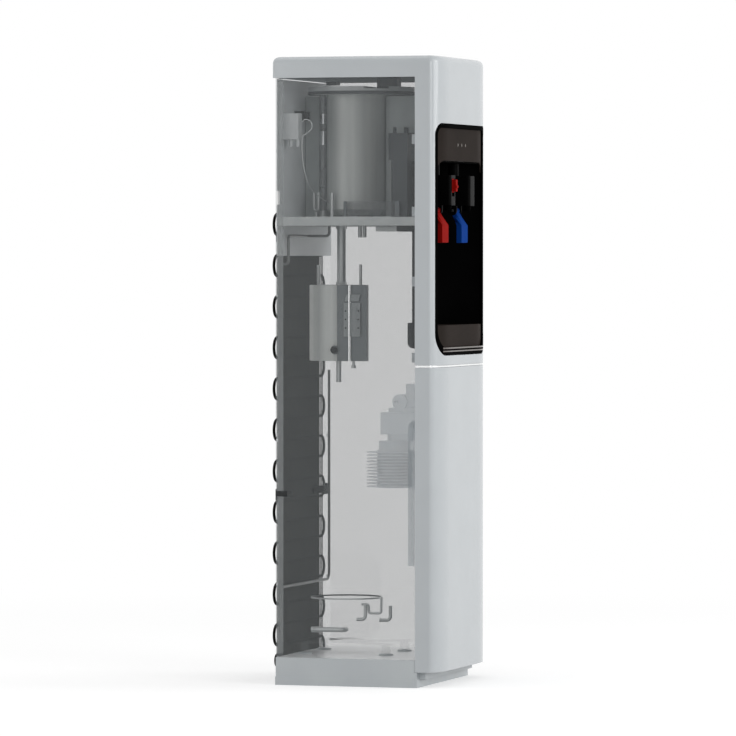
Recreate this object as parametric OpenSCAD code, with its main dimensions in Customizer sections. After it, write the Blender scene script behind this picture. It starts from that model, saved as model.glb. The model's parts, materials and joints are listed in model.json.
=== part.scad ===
// Bottleless water cooler with hot and cold taps in a recessed alcove.
// Millimetres, +Z up, the taps face -Y, the origin is on the floor under the middle.
// The left half of the tank insulation is left off and the side panels are see-through.

/* [Cabinet] */
// Width over the top cover and the front panels
cab_w = 300; // [290:1:330]
// Height from the floor to the top of the cover
cab_h = 1040; // [1010:1:1080]
// Depth from the front face to the rear edge of the side panels
cab_d = 282; // [278:1:300]
// Depth of the moulded front, from its face to the side panels
panel_d = 41; // [36:1:46]
// Wall of the moulded cover and front panels
shell_t = 3; // [2.5:0.1:3.5]
// Thickness of the sheet steel
sheet_t = 1.2; // [1:0.1:1.5]
// How far the side panels lie inside the cabinet's width
side_inset = 1.5; // [1:0.1:2.5]
// Width of the inward flange along each side panel's rear edge
flange_w = 36; // [30:1:40]
// Width of each soft front corner
corner_w = 65; // [55:1:75]
// Depth of each soft front corner
corner_d = 18.5; // [15:0.5:20]
// Height of the top cover's sides
cover_h = 35; // [30:1:40]
// Radius of the cover's rounded top edge
edge_r = 11; // [8:0.5:13]
// How far the cover stands out behind the rear panel
cover_lap = 5.5; // [4:0.5:7]
// Height of the seam between the two front panels
seam_z = 529; // [520:1:536]
// Height of the trim strip in the seam
seam_h = 3; // [2:0.5:4]

/* [Base] */
// Height of the base
base_h = 45.5; // [42:0.5:50]
// Wall of the base
base_t = 2.5; // [2:0.1:3]
// How far the front of the base lies behind the front face
kick_in = 38; // [34:1:42]
// How far the step on the front of the base stands out
kick_step = 12; // [8:1:14]
// Height of the lower front panel's bottom edge
skirt_z = 25.5; // [22:0.5:30]
// How far the foot band stands out from the base
foot_lip = 0.8; // [0.5:0.1:1.2]
// Height of the foot band
foot_h = 14; // [10:1:16]

/* [Alcove] */
// Distance from the cabinet's top to the alcove's top edge
alcove_drop = 111; // [106:1:115]
// Height of the alcove's frame
alcove_h = 382.5; // [372:0.5:388]
// Width of the alcove's frame
bezel_w = 281; // [276:1:284]
// Width of the frame's border
bezel_border = 7; // [6:0.5:9]
// Thickness of the frame
bezel_t = 5; // [4:0.5:6]
// Depth of the alcove behind the front face
alcove_d = 81; // [78:1:86]
// Wall of the alcove's liner
liner_t = 2.5; // [2:0.1:3]
// Radius of the frame's upper corners
bezel_top_r = 20; // [17:1:24]
// Radius of the frame's lower corners
bezel_low_r = 36; // [28:1:40]
// Height of the control fascia
fascia_h = 54; // [50:1:58]

/* [Taps] */
// Distance between the two taps
tap_gap = 113; // [106:1:122]
// Width of each tap housing
tap_w = 31; // [29:1:35]
// Height of each tap housing
tap_h = 50; // [46:1:54]
// Width of each paddle
paddle_w = 36; // [32:1:38]
// Length of each paddle below its tap
paddle_h = 62; // [56:1:66]
// How far the safety lock stands out of the front face
lock_proud = 5; // [4:0.5:7]
// Width of the safety lock
lock_w = 14; // [12:1:16]
// Height of the safety lock
lock_h = 23; // [20:1:25]

/* [Drip tray] */
// Height of the drip tray's front
tray_h = 36; // [30:1:38]
// Wall of the drip tray
tray_t = 2.2; // [1.8:0.1:2.8]
// Height of the frame's lip below the tray
lip_h = 13.5; // [12:0.5:16]
// Width of each slot in the drip grille
slot_w = 4; // [3.2:0.2:4.4]

/* [Cold side] */
// Distance from the cabinet's top to the tank shelf
shelf_drop = 264.3; // [260:0.1:270]
// Height of the tank shelf
shelf_h = 15; // [13:0.5:17]
// Outer radius of the cold tank
cold_r = 49; // [47:0.5:50]
// Height of the cold tank
cold_h = 201.5; // [192:0.5:203]
// Wall of the two tanks
tank_t = 1.2; // [1:0.1:1.6]
// Distance from the rear edge of the side panels to the cold tank's axis
cold_in = 93.6; // [91:0.1:95]
// Radius of the cold tank's lid
lid_r = 90; // [86:0.5:92]
// Thickness of the cold tank's lid
lid_t = 16; // [14:1:17]
// Radius of the tall vent tube
vent_r = 5.8; // [5:0.1:6.2]
// Radius of the float ball
float_r = 18; // [16:1:20]

/* [Hot side] */
// Outer radius of the hot tank
hot_r = 48; // [46:0.5:50]
// Height of the hot tank
hot_h = 127; // [120:1:132]
// Distance from the rear edge of the side panels to the hot tank's axis
hot_in = 61.5; // [59:0.5:64]
// Distance from the shelf down to the hot tank
hot_drop = 98.3; // [94:0.1:104]
// Radius of the pipe that feeds the hot tank
feed_r = 7.4; // [7:0.1:8]

/* [Refrigeration] */
// Diameter of the condenser's tube
coil_d = 4.8; // [4.2:0.1:5.4]
// Distance between the condenser's rows
coil_pitch = 34.1; // [32:0.1:34.4]
// Number of rows in the condenser
coil_rows = 23; // [19:2:23]
// Height of the condenser's lowest row
coil_z = 29.8; // [28:0.2:36]
// Diameter of the condenser's wires
wire_d = 1.6; // [1.2:0.1:2]
// Number of wires on each side of the condenser
wire_count = 34; // [26:1:38]
// Distance from the side panels' rear edge to the condenser's tube
coil_back = 7; // [6:0.5:9]
// Radius of the compressor's shell
comp_r = 58; // [55:0.5:59]
// Height of the compressor's weld ring above the floor
comp_seam_z = 138.5; // [134:0.5:146]

/* [Filter] */
// Radius of the filter cartridge
filter_r = 29; // [27:0.5:31]
// Height of the filter cartridge
filter_h = 78; // [72:1:84]
// Height of the cartridge's bottom above the floor
filter_z = 323.5; // [318:0.5:330]

/* [Hidden] */

// Overrun of every cut past the face it opens
over = 1;
// Gap between two pieces that rest on each other
seat = 0.3;
// Gap round a piece that passes through another
pass = 0.4;
// Thickness of the slices that a hull joins
slice = 0.05;
// Facets of round shapes
$fn = 48;
// Steps along each soft corner
arc_n = 10;

// Places across the cabinet
half_w = cab_w / 2;
coil_reach = coil_back + coil_d / 2 + wire_d + seat / 2;
y_front = lock_proud - (cab_d + lock_proud + coil_reach) / 2;
y_rear = y_front + cab_d;
y_side = y_front + panel_d;
y_corner = y_front + corner_d;
side_x = half_w - side_inset;
inner_x = side_x - sheet_t;
cold_y = y_rear - cold_in;
hot_y = y_rear - hot_in;
// Thickness of the strap under the cold tank
cradle_t = 2.2;
// Gap between the cold tank and the vent tube behind it
vent_gap = 3.5;
vent_y = cold_y + cold_r + vent_gap + vent_r;

// Heights
cover_z = cab_h - cover_h;
upper_z = seam_z + seam_h / 2 + seat;
lower_top_z = seam_z - seam_h / 2 - seat;
shelf_top = cab_h - shelf_drop;
shelf_low = shelf_top - shelf_h;
side_top = cover_z - seat;
side_low = base_h + seat;
alcove_top = cab_h - alcove_drop;
alcove_low = alcove_top - alcove_h;

// Soft corners seen from above: an elliptical arc between two angles in degrees
function arc(cx, cy, a, b, from, to, n) =
  [for (i = [0:n]) let (t = from + (to - from) * i / n) [cx + a * cos(t), cy + b * sin(t)]];

// Outline of the moulded front, open to the rear at y_back, shrunk by inset
function front_outline(inset, y_back) = concat(
  [[half_w - inset, y_back]],
  arc(half_w - corner_w, y_corner, corner_w - inset, corner_d - inset, 0, -90, arc_n),
  arc(corner_w - half_w, y_corner, corner_w - inset, corner_d - inset, -90, -180, arc_n),
  [[inset - half_w, y_back]]
);

// Outline of the top cover with its rounded rear corners
cover_rear_r = 5;
cover_min_r = 1.5;
cover_back = y_rear + cover_lap;
function cover_outline(inset) =
  let (r = max(cover_rear_r - inset, cover_min_r), x = half_w - inset - r, y = cover_back - inset - r)
  concat(
    arc(x, y, r, r, 90, 0, arc_n / 2),
    arc(half_w - corner_w, y_corner, corner_w - inset, corner_d - inset, 0, -90, arc_n),
    arc(corner_w - half_w, y_corner, corner_w - inset, corner_d - inset, -90, -180, arc_n),
    arc(-x, y, r, r, 180, 90, arc_n / 2)
  );

// How far the front face has fallen back at a distance x from the middle
function fall(x) =
  let (u = (abs(x) - (half_w - corner_w)) / corner_w)
  u <= 0 ? 0 : corner_d * (1 - sqrt(max(0, 1 - u * u)));

// A band that follows the front face, between two depths, out to x = reach
band_n = 32;
function band_outline(d1, d2, reach) = concat(
  [for (i = [0:band_n]) let (x = -reach + 2 * reach * i / band_n) [x, y_front + d1 + fall(x)]],
  [for (i = [band_n:-1:0]) let (x = -reach + 2 * reach * i / band_n) [x, y_front + d2 + fall(x)]]
);
module band(z1, z2, d1, d2, reach) {
  translate([0, 0, z1])
    linear_extrude(height = z2 - z1)
      polygon(band_outline(d1, d2, reach));
}

// A block between two corners
module block(a, b) {
  translate(a)
    cube(b - a);
}

// A rounded window in the front, as a prism along Y: width, heights, corner radii
module window(w, z1, z2, r_top, r_low, y1, y2) {
  translate([0, y2, 0])
    rotate([90, 0, 0])
      linear_extrude(height = y2 - y1)
        polygon(concat(
          arc(w / 2 - r_top, z2 - r_top, r_top, r_top, 90, 0, arc_n),
          arc(w / 2 - r_low, z1 + r_low, r_low, r_low, 0, -90, arc_n),
          arc(r_low - w / 2, z1 + r_low, r_low, r_low, -90, -180, arc_n),
          arc(r_top - w / 2, z2 - r_top, r_top, r_top, 180, 90, arc_n)
        ));
}

// A plate in the XY plane with round corners
module plate(w, d, h, r) {
  linear_extrude(height = h)
    polygon(concat(
      arc(w / 2 - r, d / 2 - r, r, r, 0, 90, 6),
      arc(r - w / 2, d / 2 - r, r, r, 90, 180, 6),
      arc(r - w / 2, r - d / 2, r, r, 180, 270, 6),
      arc(w / 2 - r, r - d / 2, r, r, 270, 360, 6)
    ));
}

// A straight round bar between two points
module bar(a, b, r) {
  v = b - a;
  l = norm(v);
  translate(a)
    rotate([0, acos(v[2] / l), atan2(v[1], v[0])])
      cylinder(h = l, r = r);
}

// Direction from one point to the next
function unit(v) = v / norm(v);

// How much a bend takes from each straight next to it
function trim(p, i, bend) =
  i <= 0 || i >= len(p) - 1 ? 0 :
  let (u = unit(p[i] - p[i - 1]), v = unit(p[i + 1] - p[i]))
  bend * tan(acos(max(-1, min(1, u * v))) / 2);

// One bend of a pipe at point i of its route
module elbow(p, i, r, bend) {
  u = unit(p[i] - p[i - 1]);
  v = unit(p[i + 1] - p[i]);
  turn = acos(max(-1, min(1, u * v)));
  w = unit(v - (u * v) * u);
  c = p[i] - u * trim(p, i, bend) + w * bend;
  z = cross(-w, u);
  multmatrix([
    [-w[0], u[0], z[0], c[0]],
    [-w[1], u[1], z[1], c[1]],
    [-w[2], u[2], z[2], c[2]],
    [0, 0, 0, 1]
  ])
    rotate_extrude(angle = turn)
      translate([bend, 0])
        circle(r = r);
}

// A pipe along a route, with round bends
module pipe(p, r, bend) {
  for (i = [0:len(p) - 2]) {
    u = unit(p[i + 1] - p[i]);
    bar(p[i] + u * trim(p, i, bend), p[i + 1] - u * trim(p, i + 1, bend), r);
  }
  for (i = [1:1:len(p) - 2])
    elbow(p, i, r, bend);
}

// Copies on the left and on the right
module both_sides() {
  children();
  mirror([1, 0, 0])
    children();
}

// Base: a tray turned upside down, with a stepped kick plate in front
base_x = side_x + foot_lip / 2;
kick_y = y_front + kick_in;
stud_x = 53;
stud_front_y = -24;
stud_back_y = 118;
boss_r = 11;
boss_h = 3;
foot_stud_r = 3;
stud_places = [
  [-stud_x, stud_front_y], [stud_x, stud_front_y],
  [-stud_x, stud_back_y], [stud_x, stud_back_y]
];
module base_shape(t, z) {
  block([-base_x + t, kick_y + t, z], [base_x - t, y_rear - t, skirt_z - seat - t]);
  block([-base_x + t, y_side + seat + t, z], [base_x - t, y_rear - t, base_h - t]);
}
module base_tray() {
  color("#aab0b3") difference() {
    union() {
      base_shape(0, 0);
      block([-base_x - foot_lip, kick_y - foot_lip, 0], [base_x + foot_lip, y_rear + foot_lip, foot_h]);
      block([-base_x + kick_step, kick_y - kick_step, foot_h],
        [base_x - kick_step, kick_y + base_t, skirt_z - seat]);
      for (p = stud_places)
        translate([p[0], p[1], base_h - over])
          cylinder(h = boss_h + over, r1 = boss_r + boss_h, r2 = boss_r);
    }
    base_shape(base_t, -over);
    for (p = stud_places)
      translate([p[0], p[1], base_h - base_t - over])
        cylinder(h = base_t + boss_h + 2 * over, r = foot_stud_r + pass);
    power_cut();
  }
}

// Side panel: one sheet with a rear flange and a folded top edge
top_fold = 12;
notch_h = 23;
notch_rise = 20;
notch_z = shelf_top + notch_rise;
notch_w = 16;
module notch_cut() {
  both_sides()
    block([side_x - notch_w, y_rear - 4 * sheet_t - over, notch_z],
      [inner_x - seat / 2, y_rear + over, notch_z + notch_h]);
}
module side_panel() {
  difference() {
    union() {
      block([inner_x, y_side + seat, side_low], [side_x, y_rear, side_top]);
      block([side_x - flange_w, y_rear - sheet_t, side_low], [side_x, y_rear, side_top]);
      block([side_x - top_fold, y_side + seat, side_top - sheet_t], [side_x, y_rear, side_top]);
    }
    notch_cut();
  }
}
module left_side_panel() {
  color("#8f9798", 0.35) mirror([1, 0, 0])
    side_panel();
}
module right_side_panel() {
  color("#8f9798", 0.35) side_panel();
}

// Rear panel: the upper part of the back, behind the tank
rear_drop = 329;
rear_low = cab_h - rear_drop;
rear_y2 = y_rear - sheet_t - seat;
rear_y1 = rear_y2 - sheet_t;
rear_x = inner_x - seat;
rear_top = side_top - sheet_t - seat;
bead_t = 2;
module rear_panel() {
  color("#a3a9ab") difference() {
    block([-rear_x, rear_y1, rear_low], [rear_x, rear_y2, rear_top]);
    notch_cut();
    inlet_cut();
    switch_cut();
  }
}

// Upper shell: the top cover and the upper front in one moulding
edge_n = 5;
rim_w = 12;
dome_z = cab_h - edge_r;
// One closed skin: rings of the outer face going up, then those of the inner face
module cover_dome() {
  rings = concat(
    [for (i = [0:edge_n]) let (t = 90 * i / edge_n) [edge_r * (1 - cos(t)), dome_z + edge_r * sin(t)]],
    [for (i = [0:edge_n]) let (t = 90 * i / edge_n, r = edge_r - shell_t) [shell_t + r * (1 - cos(t)),
      dome_z + r * sin(t)]]
  );
  m = len(cover_outline(0));
  k = edge_n + 1;
  points = [for (g = rings, q = cover_outline(g[0])) [q[0], q[1], g[1]]];
  function quads(from, to) = [for (j = [0:m - 1]) let (a = from * m + j, b = from * m + (j + 1) % m,
    c = to * m + j, d = to * m + (j + 1) % m) each [[a, c, d], [a, d, b]]];
  polyhedron(points = points, faces = concat(
    [for (i = [0:edge_n - 1]) each quads(i, i + 1)],
    [for (i = [0:edge_n - 1]) each quads(k + i + 1, k + i)],
    quads(k, 0),
    [[for (j = [0:m - 1]) edge_n * m + j]],
    [[for (j = [m - 1:-1:0]) (k + edge_n) * m + j]]
  ), convexity = 10);
}
hook_w = 2.2;
hook_h = 16;
hook_out = 6;
hook_in = 10;
hook_root = 2;
hook_x = inner_x - seat - hook_w;
module hook(z) {
  both_sides() {
    block([hook_x, y_side - hook_in, z], [hook_x + hook_w, y_side + hook_out, z + hook_h]);
    block([hook_x, y_side - hook_in, z], [half_w - shell_t / 2, y_side - hook_root, z + hook_h]);
  }
}
upper_hook_drops = [145.4, 264.4, 379.4, 504.4];
module upper_shell() {
  color("#dfe3e6") difference() {
    union() {
      cover_dome();
      translate([0, 0, cover_z])
        linear_extrude(height = dome_z - cover_z)
          difference() {
            polygon(cover_outline(0));
            polygon(cover_outline(shell_t));
          }
      translate([0, 0, upper_z])
        linear_extrude(height = cover_z - upper_z)
          difference() {
            polygon(front_outline(0, y_side));
            polygon(front_outline(shell_t, y_side + over));
          }
      // rim along the bottom edge
      translate([0, 0, upper_z])
        linear_extrude(height = shell_t)
          difference() {
            polygon(front_outline(shell_t / 2, y_side - shell_t));
            polygon(front_outline(rim_w, y_side));
          }
      for (d = upper_hook_drops)
        hook(cab_h - d);
    }
    window(bezel_w + 2 * seat, alcove_low - seat, alcove_top + seat, bezel_top_r + seat,
      bezel_low_r + seat, y_front - over, y_side);
  }
}

// Lower front panel: the same soft corners, with rims at both ends
module lower_front_panel() {
  color("#dfe3e6") {
    difference() {
      translate([0, 0, skirt_z])
        linear_extrude(height = lower_top_z - skirt_z)
          polygon(front_outline(0, y_side));
      translate([0, 0, skirt_z - over])
        linear_extrude(height = lower_top_z - skirt_z + 2 * over)
          polygon(front_outline(shell_t, y_side + over));
    }
    for (z = [skirt_z, lower_top_z - shell_t])
      translate([0, 0, z])
        linear_extrude(height = shell_t)
          difference() {
            polygon(front_outline(shell_t / 2, y_side - shell_t));
            polygon(front_outline(rim_w, y_side));
          }
  }
}

// Trim strip between the two front panels
strip_in = 0.8;
module seam_strip() {
  color("#f4f5f5") translate([0, 0, seam_z - seam_h / 2])
    linear_extrude(height = seam_h)
      difference() {
        polygon(front_outline(strip_in, y_side - shell_t));
        polygon(front_outline(rim_w - strip_in, y_side));
      }
}

// Shelf: a folded pan across the cabinet that carries the cold tank
shelf_x = inner_x - seat;
shelf_front = y_front + alcove_d + liner_t + 2 * seat;
shelf_rear = rear_y1 - seat;
bracket_w = 36;
bracket_h = 9.5;
// folded arms that run forward beside the alcove
arm_w = 8;
arm_front = y_side + seat;
module shelf() {
  color("#9aa0a2") difference() {
    union() {
      block([-shelf_x, shelf_front, shelf_low], [shelf_x, shelf_rear, shelf_top]);
      // box that stiffens the front edge
      block([-shelf_x + bracket_w, shelf_front, shelf_low - bracket_h],
        [shelf_x - bracket_w, shelf_front + bracket_w, shelf_low + sheet_t]);
      both_sides()
        block([shelf_x - arm_w, arm_front, shelf_low], [shelf_x, shelf_front + over, shelf_top - 2 * seat]);
    }
    // the pan is open underneath, between its folds
    block([-shelf_x + sheet_t, shelf_front + sheet_t, shelf_low - over],
      [shelf_x - sheet_t, shelf_rear - sheet_t, shelf_top - sheet_t]);
    block([-shelf_x + bracket_w + sheet_t, shelf_front + sheet_t, shelf_low - bracket_h + sheet_t],
      [shelf_x - bracket_w - sheet_t, shelf_front + bracket_w - sheet_t, shelf_low + over]);
    both_sides()
      block([shelf_x - arm_w - over, arm_front - over, shelf_low - over],
        [shelf_x - sheet_t, shelf_front - seat, shelf_top - 2 * seat - sheet_t]);
    // the open right end of the box
    block([shelf_x - bracket_w - over - sheet_t, shelf_front + sheet_t, shelf_low - bracket_h + sheet_t],
      [shelf_x, shelf_front + bracket_w - sheet_t, shelf_low + over]);
  }
}

// Screws through the rear flanges and under the cover
screw_rows = 4;
screw_head_r = 3.6;
screw_head_t = 2;
screw_taper_share = 0.7;
module cabinet_screws() {
  color("#c9cdcf") for (i = [0:screw_rows - 1])
    both_sides()
      translate([side_x - flange_w / 3, y_rear + seat / 3,
        side_low + (side_top - side_low) * (i + 0.5) / screw_rows])
        rotate([-90, 0, 0])
          cylinder(h = screw_head_t, r1 = screw_head_r, r2 = screw_head_r * screw_taper_share);
}

// Alcove frame: follows the soft corners of the front
bezel_out = 0.4;
inner_w = bezel_w - 2 * bezel_border;
open_top_r = bezel_top_r - bezel_border;
open_low_r = bezel_low_r - bezel_border;
open_low = alcove_low + lip_h;
open_top = alcove_top - bezel_border;
module alcove_bezel() {
  color("#101112") intersection() {
    difference() {
      band(alcove_low, alcove_top, -bezel_out, bezel_t, bezel_w / 2);
      window(inner_w, open_low, open_top, open_top_r, open_low_r, y_front - over, y_side);
    }
    window(bezel_w, alcove_low, alcove_top, bezel_top_r, bezel_low_r, y_front - over, y_side);
  }
}

// Alcove liner: a half-round recess with a floor and a ceiling
mouth_x = inner_w / 2;
mouth_y = y_front + bezel_t + seat + fall(mouth_x + liner_t);
liner_back = y_front + alcove_d;
liner_sag = liner_back - mouth_y;
liner_r = (mouth_x * mouth_x + liner_sag * liner_sag) / (2 * liner_sag);
liner_cy = liner_back - liner_r;
fascia_low = open_top - fascia_h;
fascia_in = 4;
fascia_t = 2.5;
ceiling_z = fascia_low - liner_t;
floor_z = open_low;
sump_out = 7.5;
sump_round = 9;
sump_top = floor_z + tray_h + 3 * seat;
module liner_round(r, z1, z2) {
  translate([0, liner_cy, z1])
    cylinder(h = z2 - z1, r = r, $fn = 96);
}
// The wider sump behind the tray, with a rounded lower edge
module sump(grow, z1) {
  r = liner_r + sump_out + grow;
  translate([0, liner_cy, 0])
    rotate_extrude($fn = 96)
      polygon(concat(
        [[0, z1], [r - sump_round, z1]],
        arc(r - sump_round, z1 + sump_round, sump_round, sump_round, -90, 0, 6),
        [[r, sump_top + grow], [0, sump_top + grow]]
      ));
}
module alcove_liner() {
  color("#060607") difference() {
    union() {
      intersection() {
        union() {
          liner_round(liner_r + liner_t, floor_z - liner_t, ceiling_z + liner_t);
          sump(liner_t, floor_z - liner_t);
        }
        block([-mouth_x - liner_t, mouth_y, floor_z - liner_t],
          [mouth_x + liner_t, y_side + alcove_d, ceiling_z + liner_t]);
      }
      // flange behind the frame
      intersection() {
        difference() {
          band(alcove_low + liner_t, ceiling_z + liner_t, bezel_t + seat, bezel_t + seat + liner_t,
            mouth_x + bezel_border / 2);
          window(inner_w - 2 * seat, open_low - liner_t, open_top + over, open_top_r, open_low_r,
            y_front - over, y_side);
        }
        window(bezel_w - bezel_border / 2, alcove_low, alcove_top, bezel_top_r, bezel_low_r,
          y_front - over, y_side);
      }
      // front edges of the ceiling and the floor
      band(ceiling_z, ceiling_z + liner_t, fascia_in + fascia_t + seat, bezel_t + corner_d, mouth_x);
      band(floor_z - liner_t, floor_z, bezel_t + seat, bezel_t + corner_d, mouth_x - open_low_r / 2);
    }
    difference() {
      union() {
        liner_round(liner_r, floor_z, ceiling_z);
        sump(0, floor_z);
      }
      block([-half_w, y_front - liner_r, floor_z - over], [half_w, y_front, ceiling_z + over]);
      block([mouth_x, y_front, floor_z - over], [half_w, y_side + alcove_d, ceiling_z + over]);
      block([-half_w, y_front, floor_z - over], [-mouth_x, y_side + alcove_d, ceiling_z + over]);
    }
    for (s = [-1, 1])
      translate([s * tap_gap / 2, tap_back - neck_r - neck_wall, ceiling_z - over])
        cylinder(h = liner_t + 2 * over, r = neck_r + pass);
  }
}

// Control fascia: the curved face above the taps
fascia_r = 12;
module control_fascia() {
  color("#453f3c") difference() {
    intersection() {
      band(fascia_low, open_top, fascia_in, fascia_in + fascia_t, mouth_x);
      window(inner_w - 4 * seat, fascia_low, open_top - seat, open_top_r, fascia_r / 4, y_front - over,
        y_side);
    }
    for (p = lens_places)
      translate([p[0], y_front - over, p[1]])
        rotate([-90, 0, 0])
          cylinder(h = fascia_t + fascia_in + 2 * over, r = lens_r + pass);
  }
}

// Three indicator lenses in the fascia
lens_r = 3;
lens_gap = 22;
lens_z = (fascia_low + open_top) / 2;
lens_places = [for (i = [-1:1]) [i * lens_gap, lens_z]];
board_back = 8;
board_y = y_front + fascia_in + fascia_t + board_back;
module indicator_lenses() {
  color("#8b8680") for (p = lens_places)
    translate([p[0], y_front + fascia_in + fascia_t / 6, p[1]])
      rotate([-90, 0, 0])
        cylinder(h = board_y - y_front - fascia_in - fascia_t / 6 - seat, r = lens_r);
}

// Circuit board behind the fascia
board_w = 120;
board_h = 34;
board_t = 1.6;
chip_w = 18;
chip_t = 4;
module control_board() {
  color("#2c5a3a") {
    block([-board_w / 2, board_y, lens_z - board_h / 2],
      [board_w / 2, board_y + board_t, lens_z + board_h / 2]);
    for (x = [-board_w / 4, board_w / 4])
      block([x - chip_w / 2, board_y + board_t / 2, lens_z - chip_w / 3],
        [x + chip_w / 2, board_y + board_t + chip_t, lens_z + chip_w / 3]);
    // posts that stand on the liner's ceiling
    for (x = [-board_w / 2, board_w / 2 - chip_t])
      block([x, board_y, ceiling_z + liner_t + seat], [x + chip_t, board_y + chip_t, lens_z]);
  }
}

// Taps: each housing hangs from the liner's ceiling on a neck
tap_drop = 21;
tap_top = ceiling_z - tap_drop;
tap_low = tap_top - tap_h;
tap_in = 2.5;
tap_front = y_front + tap_in;
tap_d = 46;
tap_back = tap_front + tap_d;
neck_r = 9;
neck_wall = 4;
tap_round = 5;
ear_t = 4;
ear_h = 16;
pin_back = 31;
pin_y = tap_front + pin_back;
pin_z = tap_low - ear_h / 2;
pin_r = 2;
pin_gap = 0.05;
module tap_housing() {
  difference() {
    union() {
      translate([0, tap_front + tap_d / 2, tap_low])
        plate(tap_w, tap_d, tap_h, tap_round);
      translate([0, tap_back - neck_r - neck_wall, tap_top - over])
        cylinder(h = tap_drop + liner_t + over, r = neck_r);
      for (s = [-1, 1])
        translate([s * (tap_w / 2 - ear_t / 2), pin_y, pin_z]) {
          rotate([0, 90, 0])
            cylinder(h = ear_t, r = ear_h / 2, center = true);
          translate([-ear_t / 2, -ear_h / 2, 0])
            cube([ear_t, ear_h, ear_h / 2 + over]);
        }
    }
    translate([-tap_w, pin_y, pin_z])
      rotate([0, 90, 0])
        cylinder(h = 2 * tap_w, r = pin_r);
    translate([0, nozzle_y, tap_low - over])
      cylinder(h = nozzle_up + over, r = nozzle_r);
  }
}
module hot_tap_housing() {
  color("#161718") difference() {
    translate([-tap_gap / 2, 0, 0])
      tap_housing();
    // pocket that guides the safety lock
    block([-tap_gap / 2 - lock_w / 2 - seat, tap_front - over, lock_low - lock_travel - seat],
      [-tap_gap / 2 + lock_w / 2 + seat, tap_front + lock_in + seat, lock_low + lock_h + seat]);
  }
}
module cold_tap_housing() {
  color("#161718") translate([tap_gap / 2, 0, 0])
    tap_housing();
}

// Nozzles under the taps
nozzle_r = 6;
nozzle_up = 8;
nozzle_down = 9;
nozzle_back = 9.5;
nozzle_y = tap_front + nozzle_back;
spout_r = 3.5;
module tap_nozzles() {
  color("#222324") for (s = [-1, 1])
    translate([s * tap_gap / 2, nozzle_y, tap_low - nozzle_down])
      difference() {
        union() {
          cylinder(h = nozzle_down + nozzle_up - seat, r = nozzle_r - pass / 4);
          cylinder(h = nozzle_down - seat, r1 = nozzle_r - pass, r2 = nozzle_r + pass);
        }
        translate([0, 0, -over])
          cylinder(h = nozzle_down + nozzle_up + 2 * over, r = spout_r);
      }
}

// Hinge pins of the two paddles
module paddle_pins() {
  color("#9b9ea0") for (s = [-1, 1])
    translate([s * tap_gap / 2, pin_y, pin_z])
      rotate([0, 90, 0])
        cylinder(h = tap_w, r = pin_r, center = true);
}

// Paddles: a lever that slants forward and then hangs straight down
hub_r = 5.5;
hub_w = tap_w - 2 * ear_t - 2 * seat;
lever_t = 3;
rib_t = 2.5;
slant_h = 32.5;
slant_y = 16.5;
rib_d = 9;
hub_shares = [0.6, 0.8, 0.4];
lever_lead = 1;
lever_top_y = pin_y - lever_lead;
lever_low = tap_low - paddle_h;
knee_z = tap_low - slant_h;
paddle_front = lever_top_y - slant_y;
module lever_side(d) {
  polygon([
    [lever_top_y, pin_z - hub_r / 2],
    [paddle_front, knee_z],
    [paddle_front, lever_low + lever_t],
    [paddle_front + lever_t, lever_low],
    [paddle_front + d, lever_low],
    [paddle_front + d, knee_z],
    [lever_top_y + d / 2, pin_z - hub_r / 2]
  ]);
}
module paddle() {
  difference() {
    union() {
      // face of the lever
      rotate([90, 0, 90])
        translate([0, 0, -paddle_w / 2])
          linear_extrude(height = paddle_w)
            lever_side(lever_t);
      // side ribs
      for (x = [-paddle_w / 2, paddle_w / 2 - rib_t])
        rotate([90, 0, 90])
          translate([0, 0, x])
            linear_extrude(height = rib_t)
              lever_side(rib_d);
      // hub on the pin, with the web that joins it to the face
      translate([0, pin_y, pin_z])
        rotate([0, 90, 0])
          cylinder(h = hub_w, r = hub_r, center = true);
      rotate([90, 0, 90])
        translate([0, 0, -hub_w / 2])
          linear_extrude(height = hub_w)
            polygon([
              [pin_y - hub_r * hub_shares[0], pin_z],
              [pin_y + hub_r * hub_shares[1], pin_z - hub_r * hub_shares[2]],
              [paddle_front + rib_d, knee_z],
              [paddle_front, knee_z]
            ]);
    }
    // the shoulders narrow towards the hub
    for (s = [-1, 1])
      rotate([90, 0, 0])
        translate([0, 0, -pin_y - tap_d])
          linear_extrude(height = 2 * tap_d)
            polygon([
              [s * hub_w / 2, pin_z + hub_r],
              [s * hub_w / 2, pin_z - ear_h / 2 - 2 * seat],
              [s * paddle_w / 2, knee_z],
              [s * paddle_w, knee_z],
              [s * paddle_w, pin_z + hub_r]
            ]);
    translate([-tap_w, pin_y, pin_z])
      rotate([0, 90, 0])
        cylinder(h = 2 * tap_w, r = pin_r + pin_gap);
  }
}
module hot_paddle() {
  color("#b51d1d") translate([-tap_gap / 2, 0, 0])
    paddle();
}
module cold_paddle() {
  color("#1f49b0") translate([tap_gap / 2, 0, 0])
    paddle();
}

// Child safety lock: slides down in its pocket on the hot tap
lock_in = 5;
lock_travel = 6;
lock_drop = 5.7;
lock_low = tap_top - lock_drop - lock_h;
lock_grip = 1.5;
module safety_lock() {
  color("#c32222") translate([-tap_gap / 2, 0, 0])
    union() {
      block([-lock_w / 2, tap_front + seat, lock_low],
            [lock_w / 2, tap_front + lock_in, lock_low + lock_h]);
      block([-lock_w / 2 + lock_grip, y_front - lock_proud + lock_grip, lock_low + lock_grip],
        [lock_w / 2 - lock_grip, tap_front + lock_grip, lock_low + lock_h - lock_grip]);
      block([-lock_w / 2 + lock_grip, y_front - lock_proud, lock_low + lock_h / 3],
        [lock_w / 2 - lock_grip, tap_front + lock_grip, lock_low + lock_h / 2]);
    }
}

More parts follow.
